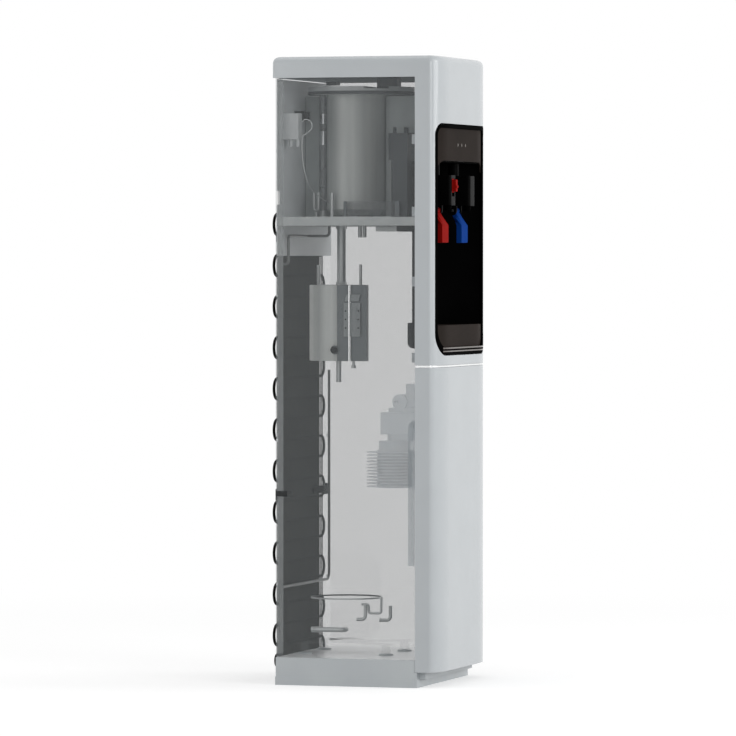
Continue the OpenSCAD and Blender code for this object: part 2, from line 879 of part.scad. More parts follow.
// Drip tray: a basin that fits the half-round floor and slides out
tray_gap = 1.2;
tray_r = liner_r + sump_out - tray_gap;
tray_low = floor_z + seat;
tray_top = tray_low + tray_h;
tray_front_in = 4;
tray_inner_y = y_front + tray_front_in + tray_t + corner_d / 2;
tray_x = mouth_x - tray_gap;
ledge_w = 20;
ledge_t = 2.5;
ledge_x = 40;
grille_t = 3;
grille_drop = 1;
grille_low = tray_top - grille_t - grille_drop;
module tray_plan(r, front, z1, z2) {
  intersection() {
    translate([0, liner_cy, z1])
      cylinder(h = z2 - z1, r = r, $fn = 96);
    block([-tray_x, front, z1], [tray_x, y_side + alcove_d, z2]);
  }
}
// Everything that slides out passes through this rounded opening
module tray_passage(inset) {
  window(2 * (tray_x - inset), tray_low + inset, tray_top + over, tray_t, open_low_r - tray_gap - inset,
    y_front - over, y_side + alcove_d);
}
module drip_tray() {
  color("#4b4641") difference() {
    intersection() {
      union() {
        difference() {
          tray_plan(tray_r, y_front + tray_front_in + corner_d / 2, tray_low, tray_top);
          sump_corner();
        }
        band(tray_low, tray_top, tray_front_in, corner_d / 2 + tray_front_in + tray_t, tray_x);
      }
      tray_passage(0);
    }
    difference() {
      intersection() {
        union() {
          tray_plan(tray_r - tray_t - sump_round, tray_inner_y, tray_low + tray_t, tray_top + over);
          tray_plan(tray_r - tray_t, tray_inner_y, tray_low + sump_round + tray_t, tray_top + over);
        }
        tray_passage(tray_t);
      }
      // ledges that carry the grille
      for (x = [-tray_x, tray_x - ledge_w])
        block([x, y_front, tray_low], [x + ledge_w, y_side + alcove_d, grille_low - seat]);
      for (x = [-ledge_x, ledge_x - ledge_t])
        block([x, y_front, tray_low], [x + ledge_t, y_side + alcove_d, grille_low - seat]);
    }
  }
}
// Keeps the tray's rear edge clear of the sump's rounded lower edge
module sump_corner() {
  translate([0, liner_cy, tray_low - over])
    difference() {
      cylinder(h = sump_round + over, r = tray_r + over, $fn = 96);
      translate([0, 0, -over])
        cylinder(h = sump_round + 3 * over, r = tray_r - sump_round, $fn = 96);
    }
}

// Drip grille: a slotted plate that lifts out of the tray
grille_gap = 0.6;
grille_r = liner_r - tray_gap;
grille_rim = 8;
slot_pitch_share = 2.2;
slot_pitch = slot_w * slot_pitch_share;
grille_front = y_front + tray_front_in + tray_t + corner_d / 2 + grille_gap;
slot_n = floor((tray_x - tray_t - grille_rim - grille_gap) / slot_pitch);
module drip_grille() {
  color("#3a3734") difference() {
    intersection() {
      tray_plan(grille_r, grille_front, grille_low, grille_low + grille_t);
      block([-tray_x + tray_t + grille_gap, y_front, grille_low],
        [tray_x - tray_t - grille_gap, liner_back, tray_top]);
    }
    for (i = [-slot_n:slot_n])
      intersection() {
        translate([i * slot_pitch - slot_w / 2, y_front, grille_low - over])
          cube([slot_w, alcove_d, grille_t + 2 * over]);
        tray_plan(grille_r - grille_rim, grille_front + grille_rim,
          grille_low - over, grille_low + grille_t + over);
      }
  }
}

// Valve housing: the closed box behind the taps, in front of the cold tank
valve_w = 100;
valve_low = shelf_top + seat;
valve_h = 139;
valve_step_h = 94;
valve_step = 4.7;
valve_y1 = liner_back + liner_t + 2 * seat;
valve_lead = 69.5;
valve_y2 = cold_y - valve_lead;
valve_r = 8;
peg_r = 3;
peg_h = 10;
module valve_plan(y2, h, grow) {
  linear_extrude(height = h + grow)
    polygon(concat(
      arc(valve_w / 2 - valve_r, y2 - valve_r, valve_r + grow, valve_r + grow, 0, 90, 6),
      arc(valve_r - valve_w / 2, y2 - valve_r, valve_r + grow, valve_r + grow, 90, 180, 6),
      [[-valve_w / 2 - grow, valve_y1 - grow], [valve_w / 2 + grow, valve_y1 - grow]]
    ));
}
module valve_housing(grow = 0) {
  color("#2b2d2e") translate([0, 0, valve_low])
    union() {
      valve_plan(valve_y2 - valve_step, valve_h - over, grow);
      translate([0, 0, valve_step_h])
        valve_plan(valve_y2, valve_h - valve_step_h, grow);
      for (i = [0:2])
        translate([(i - 1) * valve_w / 3, valve_y2 - (i + 0.8) * peg_h, valve_h - over])
          cylinder(h = peg_h + over + grow, r = peg_r + grow);
    }
}

// Cold tank: a stainless pot with a rolled rim
cold_low = shelf_top + cradle_t + 2 * seat;
cold_top = cold_low + cold_h;
rim_r = 1.5;
dome_h = 10;
module cold_tank() {
  color("#8e908e") translate([0, cold_y, 0])
    difference() {
      union() {
        translate([0, 0, cold_low + dome_h])
          cylinder(h = cold_h - dome_h, r = cold_r);
        translate([0, 0, cold_low])
          cylinder(h = dome_h, r1 = cold_r - dome_h, r2 = cold_r);
        translate([0, 0, cold_top - 2 * rim_r])
          cylinder(h = 2 * rim_r, r = cold_r + rim_r);
      }
      translate([0, 0, cold_low + dome_h])
        cylinder(h = cold_h, r = cold_r - tank_t);
      translate([0, 0, cold_low + tank_t])
        cylinder(h = dome_h - tank_t + slice, r1 = cold_r - dome_h, r2 = cold_r - tank_t);
    }
}

// Lid of the cold tank, with a plug that fits the pot and three lugs
lid_lead = 9.6;
lid_y = cold_y - lid_lead;
lid_plug_share = 0.65;
lid_low = cold_top + seat;
recess_rise = 8.5;
recess_z = lid_low + recess_rise;
lid_plug_h = 6;
lug_w = 10;
lug_t = 4;
module cold_tank_lid() {
  color("#9a9d9c") difference() {
    union() {
      translate([0, lid_y, lid_low + lug_t])
        cylinder(h = lid_t - lug_t, r = lid_r);
      translate([0, lid_y, lid_low])
        cylinder(h = lug_t, r1 = lid_r - lug_t, r2 = lid_r);
      translate([0, cold_y, lid_low - lid_plug_h])
        cylinder(h = lid_plug_h + over, r = cold_r - tank_t - pass);
    }
    translate([0, vent_y, lid_low - over])
      cylinder(h = lid_t + 2 * over, r = vent_r + pass);
    translate([0, float_y, lid_low - lid_plug_h - over])
      cylinder(h = lid_t + lid_plug_h + 2 * over, r = stem_r + pass);
    translate([0, cold_y + 8, lid_low - lid_plug_h - over])
      cylinder(h = lid_plug_h, r = cold_r * lid_plug_share);
    // recess for the valve, open to the left side
    block([-lid_r, valve_block_y1 - pass, recess_z],
      [valve_block_w / 2 + pass, valve_block_y2 + pass, lid_low + lid_t + over]);
  }
}

// Fittings on the lid: the water valve with its stem, and the vent block
valve_block_w = 22;
valve_block_h = 20;
vent_block_h = 6;
fitting_low = recess_z + seat;
float_lead = 42;
float_y = cold_y - float_lead;
valve_block_lead = 33;
valve_block_y1 = float_y - valve_block_lead;
valve_block_back = 2.5;
valve_block_y2 = float_y + valve_block_back;
vent_block_lead = 32;
vent_block_y1 = cold_y + vent_block_lead;
vent_block_back = 49.5;
vent_block_y2 = cold_y + vent_block_back;
stem_r = 4;
stem_h = 34;
stem_low = cold_top - stem_h;
yoke_h = 10;
bore_r = 3.2;
yoke_x = 5;
yoke_t = 2.5;
float_pin_r = 1.5;
float_rise = 3.5;
float_z = stem_low + float_rise;
module inlet_fittings() {
  color("#5d6261") {
    difference() {
      union() {
        block([-valve_block_w / 2, valve_block_y1, fitting_low],
          [valve_block_w / 2, valve_block_y2, fitting_low + valve_block_h]);
        translate([0, float_y, stem_low + yoke_h - yoke_t])
          cylinder(h = fitting_low - stem_low - yoke_h + yoke_t + over, r = stem_r);
        for (s = [-1, 1])
          block([s * (yoke_x + yoke_t / 2) - yoke_t / 2, float_y - stem_r, stem_low],
            [s * (yoke_x + yoke_t / 2) + yoke_t / 2, float_y + stem_r, stem_low + yoke_h]);
        block([-yoke_x - yoke_t, float_y - stem_r, stem_low + yoke_h - yoke_t],
          [yoke_x + yoke_t, float_y + stem_r, stem_low + yoke_h]);
      }
      // the water port, seen from the left
      translate([-valve_block_w, float_y - stem_r, fitting_low + stem_r])
        rotate([0, 90, 0])
          cylinder(h = valve_block_w, r = bore_r);
      translate([-yoke_x - 2 * yoke_t, float_y, float_z])
        rotate([0, 90, 0])
          cylinder(h = 2 * yoke_x + 4 * yoke_t, r = float_pin_r + pin_gap);
    }
    block([-valve_block_w / 2, vent_block_y1, lid_low + lid_t + seat],
      [valve_block_w / 2, vent_block_y2, lid_low + lid_t + seat + vent_block_h]);
  }
}

// Float: an arm on its own pin, with a hollow ball
float_dip = 30;
arm_len = 40;
arm_r = 1.6;
float_hub_r = 3.2;
module float_arm() {
  color("#d8dadb") translate([0, float_y, float_z])
    union() {
      rotate([0, 90, 0])
        cylinder(h = 2 * (yoke_x - seat), r = float_hub_r, center = true);
      rotate([0, 90, 0])
        cylinder(h = 2 * (yoke_x + yoke_t), r = float_pin_r, center = true);
      bar([0, 0, 0], arm_len * [0, cos(float_dip), -sin(float_dip)], arm_r);
    }
}
module float_ball() {
  color("#e8e8e6") translate([0, float_y, float_z] + arm_len * [0, cos(float_dip), -sin(float_dip)])
    difference() {
      sphere(r = float_r);
      rotate([-float_dip, 0, 0])
        translate([0, -float_r, 0])
          rotate([90, 0, 0])
            cylinder(h = 2 * float_r, r = arm_r, center = true);
    }
}

// Insulation: the right half of the foam jacket, cut on the middle plane
foam_gap = 1.5;
foam_y1 = liner_back + liner_t + foam_gap;
foam_rear_gap = 1.5;
foam_y2 = rear_y1 - foam_rear_gap;
foam_side_gap = 1;
foam_x = inner_x - foam_side_gap;
foam_low = shelf_top + seat;
foam_drop = 62;
foam_top = cab_h - foam_drop;
foam_seam = 0.3;
module insulation_half() {
  color("#7d8381") difference() {
    block([foam_seam, foam_y1, foam_low], [foam_x, foam_y2, foam_top]);
    translate([0, cold_y, foam_low - over])
      cylinder(h = foam_top, r = cold_r + rim_r + foam_gap, $fn = 96);
    valve_housing(foam_gap);
    translate([0, vent_y, foam_low - over])
      cylinder(h = foam_top, r = vent_r + foam_gap);
    translate([0, vent_y, foam_low - over])
      cylinder(h = collar_h + over + foam_gap, r = vent_r + collar_t + foam_gap);
    translate([inlet_x, foam_y2 + over, inlet_z])
      rotate([90, 0, 0])
        cylinder(h = inlet_in + over, r = inlet_r + foam_gap);
    block([-over, strap_y1 - foam_gap, foam_low - over],
      [strap_x2 + foam_gap, strap_y2 + foam_gap, foam_low + cradle_t + foam_gap]);
  }
}

// Cradle: a strap under the tank with a tall guard on the left, and the posts at its ends
cradle_h = 26;
guard_out = 7;
guard_x = -cold_r - guard_out;
guard_t = 1;
guard_lead = 92.6;
guard_y1 = cold_y - guard_lead;
guard_back = 4.8;
guard_y2 = cold_y + guard_back;
guard_end = 8;
post_w = 5.4;
strap_x2 = 30;
strap_lead = 20;
strap_y1 = cold_y - strap_lead;
strap_back = 4;
strap_y2 = cold_y + strap_back;
module tank_cradle() {
  color("#3c4040") translate([0, 0, shelf_top + seat])
    union() {
      block([guard_x, strap_y1, 0], [strap_x2, strap_y2, cradle_t]);
      block([guard_x, guard_y1, 0], [guard_x + guard_t, guard_y2, cradle_h]);
      block([guard_x - guard_t, guard_y2 - post_w, 0], [guard_x + 2 * guard_t, guard_y2, cradle_h]);
      block([guard_x - guard_t, guard_y1, 0], [guard_x + 2 * guard_t, guard_y1 + guard_end, cradle_h]);
    }
}

// Tall clear vent tube behind the cold tank
vent_wall = 1.2;
vent_rise = 4;
vent_top = lid_low + vent_rise;
module vent_tube() {
  color("#cfd6d6", 0.6) translate([0, vent_y, shelf_top + seat])
    difference() {
      cylinder(h = vent_top - shelf_top - seat, r = vent_r);
      translate([0, 0, vent_wall])
        cylinder(h = vent_top, r = vent_r - vent_wall);
    }
}

// Small tubes beside the cold tank, and the two outlets under the shelf
small_r = 2.9;
small_x = -20;
small_in = 25.4;
small_y = y_rear - small_in;
small_gap = 7.6;
small_h = 42;
small_foot = 11;
outlet_r = 3.4;
outlet_h = 19;
outlet_lead = 6.5;
outlet_y1 = cold_y - outlet_lead;
outlet_far_lead = 14.3;
outlet_y2 = cold_y - outlet_far_lead;
post_r = 3.2;
post_out = 4;
post_x = -cold_r - post_out;
post_back = 26;
post_y = cold_y + post_back;
post_h = 40;
collar_h = 11;
collar_t = 2.5;
collar_share = 0.8;
module cold_tank_tubes() {
  color("#8f9492") {
    pipe([
      [small_x, small_y, shelf_top + small_h],
      [small_x, small_y, shelf_top + small_foot],
      [small_x, small_y - small_gap, shelf_top + small_foot],
      [small_x, small_y - small_gap, shelf_top + small_h]
    ], small_r, small_gap / 2 - slice);
    translate([small_x, small_y - small_gap / 2, shelf_top + seat])
      cylinder(h = small_foot - small_r, r = small_r);
    translate([post_x, post_y, shelf_top + seat])
      cylinder(h = post_h, r = post_r);
    for (y = [outlet_y1, outlet_y2])
      translate([0, y, shelf_low - outlet_h])
        cylinder(h = outlet_h + shelf_h - sheet_t - seat, r = outlet_r);
    // collar at the foot of the vent tube
    translate([0, vent_y, shelf_top + seat])
      difference() {
        cylinder(h = collar_h, r1 = vent_r + collar_t, r2 = vent_r + collar_share * collar_t);
        translate([0, 0, -over])
          cylinder(h = collar_h + 2 * over, r = vent_r + seat / 2);
      }
  }
}

// Cold thermostat on its bracket, on the rear panel
box_w = 20;
box_d = 28;
box_h = 43;
box_x = -126;
box_drop = 136;
box_low = cab_h - box_drop;
plate_back = rear_y1 - seat;
box_y2 = plate_back - sheet_t;
box_y1 = box_y2 - box_d;
stub_r = 3;
stub_h = 12;
tab_rise = 16;
stub_in = 4;
stub_gap = 12;
module thermostat_box() {
  color("#9ca1a1") {
    block([box_x, box_y1, box_low], [box_x + box_w, box_y2 + sheet_t / 2, box_low + box_h]);
    // bracket
    block([box_x - tab_rise, box_y2, box_low - stub_h],
      [box_x + box_w, plate_back, box_low + box_h + tab_rise]);
    for (y = [box_y1 + stub_in, box_y1 + stub_in + stub_gap])
      translate([box_x + box_w / 2, y, box_low - stub_h])
        cylinder(h = stub_h + over, r = stub_r);
  }
}

// A smooth curve through points, with n steps between them
function spline(p, n) = concat([
  for (i = [0:len(p) - 2], k = [0:n - 1])
    let (t = k / n, a = p[max(i - 1, 0)], b = p[i], c = p[i + 1], d = p[min(i + 2, len(p) - 1)])
    0.5 * ((2 * b) + (c - a) * t
           + (2 * a - 5 * b + 4 * c - d) * t * t + (3 * b - a - 3 * c + d) * t * t * t)
], [p[len(p) - 1]]);

// A thin tube along a curve that never runs along X
thread_sides = 6;
module thread(p, r) {
  n = len(p) - 1;
  points = [
    for (i = [0:n], j = [0:thread_sides - 1])
      let (t = unit(p[min(i + 1, n)] - p[max(i - 1, 0)]), u = unit(cross(t, [1, 0, 0])), v = cross(t, u),
        a = 360 * j / thread_sides)
      p[i] + r * (cos(a) * u + sin(a) * v)
  ];
  faces = [
    for (i = [0:n - 1], j = [0:thread_sides - 1], k = [0, 1])
      let (a = i * thread_sides + j, b = i * thread_sides + (j + 1) % thread_sides)
      k == 0 ? [a, a + thread_sides, b] : [b, a + thread_sides, b + thread_sides]
  ];
  low_cap = [for (j = [1:thread_sides - 2]) [0, j, j + 1]];
  last = n * thread_sides;
  high_cap = [for (j = [1:thread_sides - 2]) [last, last + j + 1, last + j]];
  polyhedron(points = points, faces = concat(faces, low_cap, high_cap), convexity = 10);
}

// Capillary from the thermostat to the tank
cap_r = 0.9;
cap_x = box_x + box_w / 2;
cap_rise = 27;
cap_z = box_low + cap_rise;
cap_end = cold_r + cap_r + seat;
cap_end_shares = [0.76, 0.65];
cap_fall = 134;
cap_steps = [
  [0, -cap_r, 0], [0, -9.4, 6], [0, -18.8, 2], [0, -20.4, -9], [0, -10, -18],
  [0, -4.6, -23], [0, -3.7, -48], [4, -7.8, -84], [24, -14, -112]
];
module capillary_tube() {
  color("#c4cac8") thread(spline(concat(
    [for (c = cap_steps) [cap_x, box_y1, cap_z] + c],
    [[-cap_end * cap_end_shares[0], cold_y + cap_end * cap_end_shares[1], cap_z - cap_fall]]
  ), 8), cap_r);
}

// A round tube wound as a helix: radius, pitch, turns, tube radius
coil_sides = 6;
coil_steps = 24;
module helix(r, rise, turns, tube) {
  steps = coil_steps * turns;
  lean = atan2(rise, 360 * r * PI / 180);
  points = [
    for (i = [0:steps], j = [0:coil_sides - 1])
      let (t = 360 * i / coil_steps, a = 360 * j / coil_sides,
        rr = r + tube * cos(a), up = tube * sin(a))
      [rr * cos(t) + up * sin(lean) * sin(t), rr * sin(t) - up * sin(lean) * cos(t),
        rise * i / coil_steps + up * cos(lean)]
  ];
  sides = [
    for (i = [0:steps - 1], j = [0:coil_sides - 1], k = [0, 1])
      let (a = i * coil_sides + j, b = i * coil_sides + (j + 1) % coil_sides,
        c = a + coil_sides, d = b + coil_sides)
      k == 0 ? [a, b, d] : [a, d, c]
  ];
  low_cap = [for (j = [1:coil_sides - 2]) [0, j + 1, j]];
  last = steps * coil_sides;
  high_cap = [for (j = [1:coil_sides - 2]) [last, last + j, last + j + 1]];
  polyhedron(points = points, faces = concat([for (f = sides) [f[0], f[2], f[1]]],
    [for (f = low_cap) [f[0], f[2], f[1]]], [for (f = high_cap) [f[0], f[2], f[1]]]), convexity = 10);
}

// Evaporator: a coil that chills the lower half of the cold tank
evap_tube = 3;
evap_rise = 9;
evap_turns = 7;
evap_gap = 1;
evap_r = cold_r - tank_t - evap_tube - seat;
module evaporator_coil() {
  color("#b87f4a") translate([0, cold_y, cold_low + dome_h + evap_tube + evap_gap])
    helix(evap_r, evap_rise, evap_turns, evap_tube);
}

// Hot tank: a closed stainless can with a rolled band
hot_top = shelf_low - hot_drop;
hot_low = hot_top - hot_h;
can_round = 8;
module hot_tank() {
  color("#a9acab") translate([0, hot_y, 0])
    difference() {
      union() {
        translate([0, 0, hot_low + can_round])
          cylinder(h = hot_h - 2 * can_round, r = hot_r);
        translate([0, 0, hot_low])
          cylinder(h = can_round, r1 = hot_r - can_round / 2, r2 = hot_r);
        translate([0, 0, hot_top - can_round])
          cylinder(h = can_round, r1 = hot_r, r2 = hot_r - can_round / 2);
      }
      translate([0, 0, hot_low + can_round])
        cylinder(h = hot_h - 2 * can_round, r = hot_r - tank_t);
    }
}

// Plate on the hot tank's left side that carries the two thermostats
plate_x = -hot_r - seat;
plate_t = 2;
plate_lead = 66;
plate_y1 = hot_y - plate_lead;
plate_back_lead = 14;
plate_y2 = hot_y - plate_back_lead;
saddle_x = -sqrt(hot_r * hot_r - (hot_y - plate_y2) * (hot_y - plate_y2)) - seat;
slot_lead = 39;
slot_y1 = hot_y - slot_lead;
slot_back_lead = 34.5;
slot_y2 = hot_y - slot_back_lead;
plate_fold = 8;
link_h = 8;
button_r = 5.4;
button_t = 5;
button_travel = 1.5;
button_stem_r = 2;
button_lead = 9.8;
button_y = hot_y - button_lead;
button_rise = 18.7;
button_z = hot_low + button_rise;
button_x = plate_x - plate_t - button_travel - seat;
stat_w = 14.3;
stat_h = 56;
stat_t = 3;
stat_lead = 26.5;
stat_y = hot_y - stat_lead;
stat_rise = 41;
stat_low = hot_low + stat_rise;
module hot_tank_plate() {
  color("#3f4344") {
    difference() {
      union() {
        block([plate_x - plate_t, plate_y1, hot_low], [plate_x, plate_y2, hot_top]);
        block([plate_x - plate_t, plate_y1, hot_low], [plate_x + plate_fold, plate_y1 + plate_t, hot_top]);
        // round lug that carries the reset button
        translate([plate_x - plate_t, button_y, button_z])
          rotate([0, 90, 0])
            cylinder(h = plate_t, r = button_r + plate_t);
        block([plate_x - plate_t, plate_y2 - plate_t, button_z - button_r],
          [plate_x, button_y, button_z + button_r]);
        // saddle that rests on the tank
        block([plate_x - plate_t / 2, plate_y2 - plate_t, hot_low + can_round],
          [saddle_x, plate_y2, hot_top - can_round]);
      }
      translate([plate_x - plate_t - over, button_y, button_z])
        rotate([0, 90, 0])
          cylinder(h = plate_t + 2 * over, r = button_stem_r + pin_gap);
      block([plate_x - plate_t - over, slot_y1, hot_low - over], [plate_x + over, slot_y2, hot_top + over]);
    }
    for (z = [stat_low, stat_low + stat_h / 2, stat_low + stat_h + link_h / 4])
      block([plate_x - plate_t, slot_y1 - plate_t, z], [plate_x, slot_y2 + plate_t, z + link_h]);
  }
}

// Two overheat thermostats under one cap, each with three terminals
cap_h = 11;
cap_lead = 55.5;
cap_y1 = hot_y - cap_lead;
cap_back_lead = 28.5;
cap_y2 = hot_y - cap_back_lead;
cap_slant = 3;
term_r = 2.2;
term_t = 2;
term_rows = 3;
module hot_thermostats() {
  color("#7f8485") translate([plate_x - plate_t - seat, 0, stat_low])
    union() {
      for (k = [0, 1])
        translate([0, stat_y - k * (stat_w + seat), 0])
          union() {
            translate([-stat_t, -stat_w, 0])
              cube([stat_t, stat_w, stat_h]);
            for (i = [0:term_rows - 1])
              translate([-stat_t - term_t, -stat_w / 2, stat_h * (i + 0.7) / (term_rows + 0.4)])
                rotate([0, 90, 0])
                  cylinder(h = term_t + over, r = term_r);
          }
      translate([-stat_t, 0, stat_h + cap_slant])
        rotate([90, 0, 90])
          linear_extrude(height = stat_t)
            polygon([[cap_y1 + cap_slant, 0], [cap_y2, 0], [cap_y2 - cap_slant, cap_h], [cap_y1, cap_h]]);
    }
}

// Reset button of the overheat thermostat
module reset_button() {
  color("#141414") translate([button_x, button_y, button_z])
    rotate([0, 90, 0])
      union() {
        translate([0, 0, -button_t])
          cylinder(h = button_t, r = button_r);
        translate([0, 0, -over])
          cylinder(h = over + button_travel + plate_t - seat, r = button_stem_r);
      }
}

// Pipe that feeds the hot tank from the shelf, with its two nuts
feed_lead = 6;
feed_y = hot_y - feed_lead;
nut_h = 5;
nut_r = 9.5;
module hot_feed_pipe() {
  color("#b4b7b5") translate([0, feed_y, 0])
    union() {
      translate([0, 0, hot_top + seat])
        cylinder(h = shelf_low - hot_top - 2 * seat + shelf_h - sheet_t, r = feed_r);
      translate([0, 0, shelf_low - nut_h])
        cylinder(h = nut_h - seat, r = nut_r, $fn = 6);
      translate([0, 0, hot_top + seat])
        cylinder(h = nut_h, r = nut_r, $fn = 6);
    }
}

// Drain below the hot tank, and the two short tubes on its top
drain_r = 4.3;
drain_h = 36;
drain_lead = 1.2;
drain_y = hot_y - drain_lead;
thin_r = 2.5;
thin_h = 34;
thin_lead = 39.6;
thin_y = hot_y - thin_lead;
back_stub_back = 34;
back_stub_y = hot_y + back_stub_back;
back_stub_r = 3.3;
back_stub_h = 33;
stud_r = 2.2;
stud_h = 12;
stud_head_h = 5;
stud_head_r = 3.9;
stud_x2 = -28;
stud_lead = 36;
stud_y = hot_y - stud_lead;
module hot_tank_tubes() {
  color("#b4b7b5") {
    translate([0, drain_y, hot_low - seat - drain_h])
      cylinder(h = drain_h, r = drain_r);
    translate([0, thin_y, hot_top + seat])
      cylinder(h = thin_h, r = thin_r);
    translate([0, back_stub_y, hot_top + seat])
      cylinder(h = back_stub_h, r = back_stub_r);
    translate([stud_x2, stud_y, hot_low - seat - stud_h]) {
      cylinder(h = stud_h, r = stud_r);
      cylinder(h = stud_head_h, r = stud_head_r);
    }
  }
}

// Heating element: a hairpin inside the hot tank
heater_r = 4;
heater_w = 32;
heater_bend = 12;
module heating_element() {
  color("#6c6f70") translate([0, hot_y, hot_low + can_round + seat])
    pipe([
      [-heater_w / 2, 0, 0],
      [-heater_w / 2, 0, hot_h - 3 * can_round],
      [heater_w / 2, 0, hot_h - 3 * can_round],
      [heater_w / 2, 0, 0]
    ], heater_r, heater_bend);
}

// Compressor: two pressed half shells that meet at the weld ring
comp_in = 76.4;
comp_y = y_rear - comp_in;
comp_t = 3;
comp_low_h = 70;
comp_cap_h = 72;
comp_shell_round = 26;
function shell_profile(r, h, round) = concat(
  [[0, 0], [r, 0]],
  arc(r - round, h - round, round, round, 0, 90, 8),
  [[0, h]]
);
module half_shell(h, round) {
  rotate_extrude($fn = 64)
    difference() {
      polygon(shell_profile(comp_r, h, round));
      translate([0, -slice])
        polygon(shell_profile(comp_r - comp_t, h - comp_t + slice, round - comp_t));
    }
}
module compressor_shell() {
  color("#c9cdcd", 0.2) translate([0, comp_y, comp_seam_z - seat / 2])
    mirror([0, 0, 1])
      half_shell(comp_low_h, comp_shell_round);
}
module compressor_cap() {
  color("#c9cdcd", 0.2) translate([0, comp_y, comp_seam_z + seat / 2])
    half_shell(comp_cap_h, comp_shell_round);
}

// Weld ring round the compressor
ring_h = 2.4;
ring_t = 2;
module compressor_ring() {
  color("#8a8d8d") translate([0, comp_y, comp_seam_z - ring_h / 2])
    difference() {
      cylinder(h = ring_h, r = comp_r + ring_t, $fn = 64);
      translate([0, 0, -over])
        cylinder(h = ring_h + 2 * over, r = comp_r + seat / 2, $fn = 64);
    }
}

// Stub tubes welded into the compressor's lower shell
stub_tube_r = 2.9;
loop_r = 2.1;
stub_bend = 7;
hose_r = 4;
hose_rib = 1;
hose_ribs = 4;
hose_drop = 50.5;
// Corners of each tube, from the middle of the weld seam
process_route = [[-45, -47, -10], [-45, -47, -34], [-45, -32, -34]];
suction_route = [[20, -70.8, -14.5], [20, -70.8, -39], [20, -52, -39]];
loop_route = [[-40, -39, -9], [-40, -51.3, -9], [-40, -51.3, -23.5], [-40, -73.2, -23.5], [-40, -73.2, 3]];
hose_route = [[-70, 38.9, -hose_drop], [-70, -16, -hose_drop], [-53, -16, -hose_drop]];
module compressor_tubes() {
  color("#7d8081") translate([0, comp_y, comp_seam_z])
    union() {
      pipe(process_route, stub_tube_r, stub_bend);
      pipe(suction_route, stub_tube_r, stub_bend);
      pipe(loop_route, loop_r, loop_r * 2);
      pipe(hose_route, hose_r, hose_r * 2);
      for (i = [0:hose_ribs - 1])
        translate(hose_route[0] - [0, i * hose_r, 0])
          rotate([90, 0, 0])
            cylinder(h = hose_r / 2, r = hose_r + hose_rib);
    }
}

// Compressor feet: a cross plate on four rubber grommets and studs
grommet_r = 8;
grommet_h = 14;
foot_plate_t = 2.5;
foot_plate_z = base_h + boss_h + seat + grommet_h;
foot_pad_r = 12;
foot_hub_share = 0.5;
grommet_share = 0.8;
module compressor_feet() {
  color("#3b3d3d") {
    difference() {
      union() {
        for (p = stud_places)
          bar_plate([0, comp_y], p);
        translate([0, comp_y, foot_plate_z])
          cylinder(h = comp_seam_z - seat / 2 - comp_low_h - seat - foot_plate_z,
            r = comp_r * foot_hub_share);
      }
    }
    for (p = stud_places)
      translate([p[0], p[1], base_h + boss_h + seat])
        cylinder(h = grommet_h + over, r1 = grommet_r, r2 = grommet_r * grommet_share);
    for (p = stud_places)
      translate([p[0], p[1], base_h - base_t - boss_h])
        cylinder(h = grommet_h + foot_plate_t + 3 * boss_h, r = foot_stud_r);
  }
}
module bar_plate(a, b) {
  translate([0, 0, foot_plate_z])
    linear_extrude(height = foot_plate_t)
      union() {
        polygon([
          a + foot_pad_r * [1, 0], a - foot_pad_r * [1, 0],
          b - foot_pad_r * [1, 0], b + foot_pad_r * [1, 0]
        ]);
        translate(b)
          circle(r = foot_pad_r);
      }
}

// Condenser: one tube folded into rows behind the cabinet
coil_y = y_rear + coil_back;
coil_end = 136;
coil_x = coil_end - coil_pitch / 2;
tail_r = 9;
tail_len = 6;
function row_z(i) = coil_z + i * coil_pitch;
module return_bend(z, s) {
  translate([s * coil_x, coil_y, z])
    rotate([90, 0, 0])
      rotate([0, 0, s > 0 ? -90 : 90])
        rotate_extrude(angle = 180)
          translate([coil_pitch / 2, 0])
            circle(r = coil_d / 2);
}
module condenser_coil() {
  color("#0c0c0c") {
    // the tail turns up at the lowest row and ends in a short stub
    translate([-coil_x, coil_y, coil_z + tail_r])
      rotate([90, 0, 0])
        rotate([0, 0, 90])
          rotate_extrude(angle = 180)
            translate([tail_r, 0])
              circle(r = coil_d / 2);
    bar([-coil_x, coil_y, coil_z + 2 * tail_r],
      [-coil_x + tail_len, coil_y, coil_z + 2 * tail_r], coil_d / 2);
    for (i = [0:coil_rows - 1])
      bar([-coil_x, coil_y, row_z(i)], [coil_x, coil_y, row_z(i)], coil_d / 2);
    for (i = [0:coil_rows - 2])
      return_bend(row_z(i + 0.5), i % 2 == 0 ? 1 : -1);
  }
}

// Wires welded across the front and the back of the rows
wire_reach = 4;
wire_start = 14;
wire_gap = 2 * (coil_x - 2 * coil_d) / (wire_count - 1);
module condenser_wires() {
  color("#161616") for (i = [0:wire_count - 1], s = [-1, 1])
    translate([-coil_x + 2 * coil_d + i * wire_gap,
      coil_y + s * (coil_d / 2 + wire_d / 2 + seat / 6), coil_z + wire_start])
      cylinder(h = (coil_rows - 1) * coil_pitch - wire_start + wire_reach, r = wire_d / 2, $fn = 16);
}

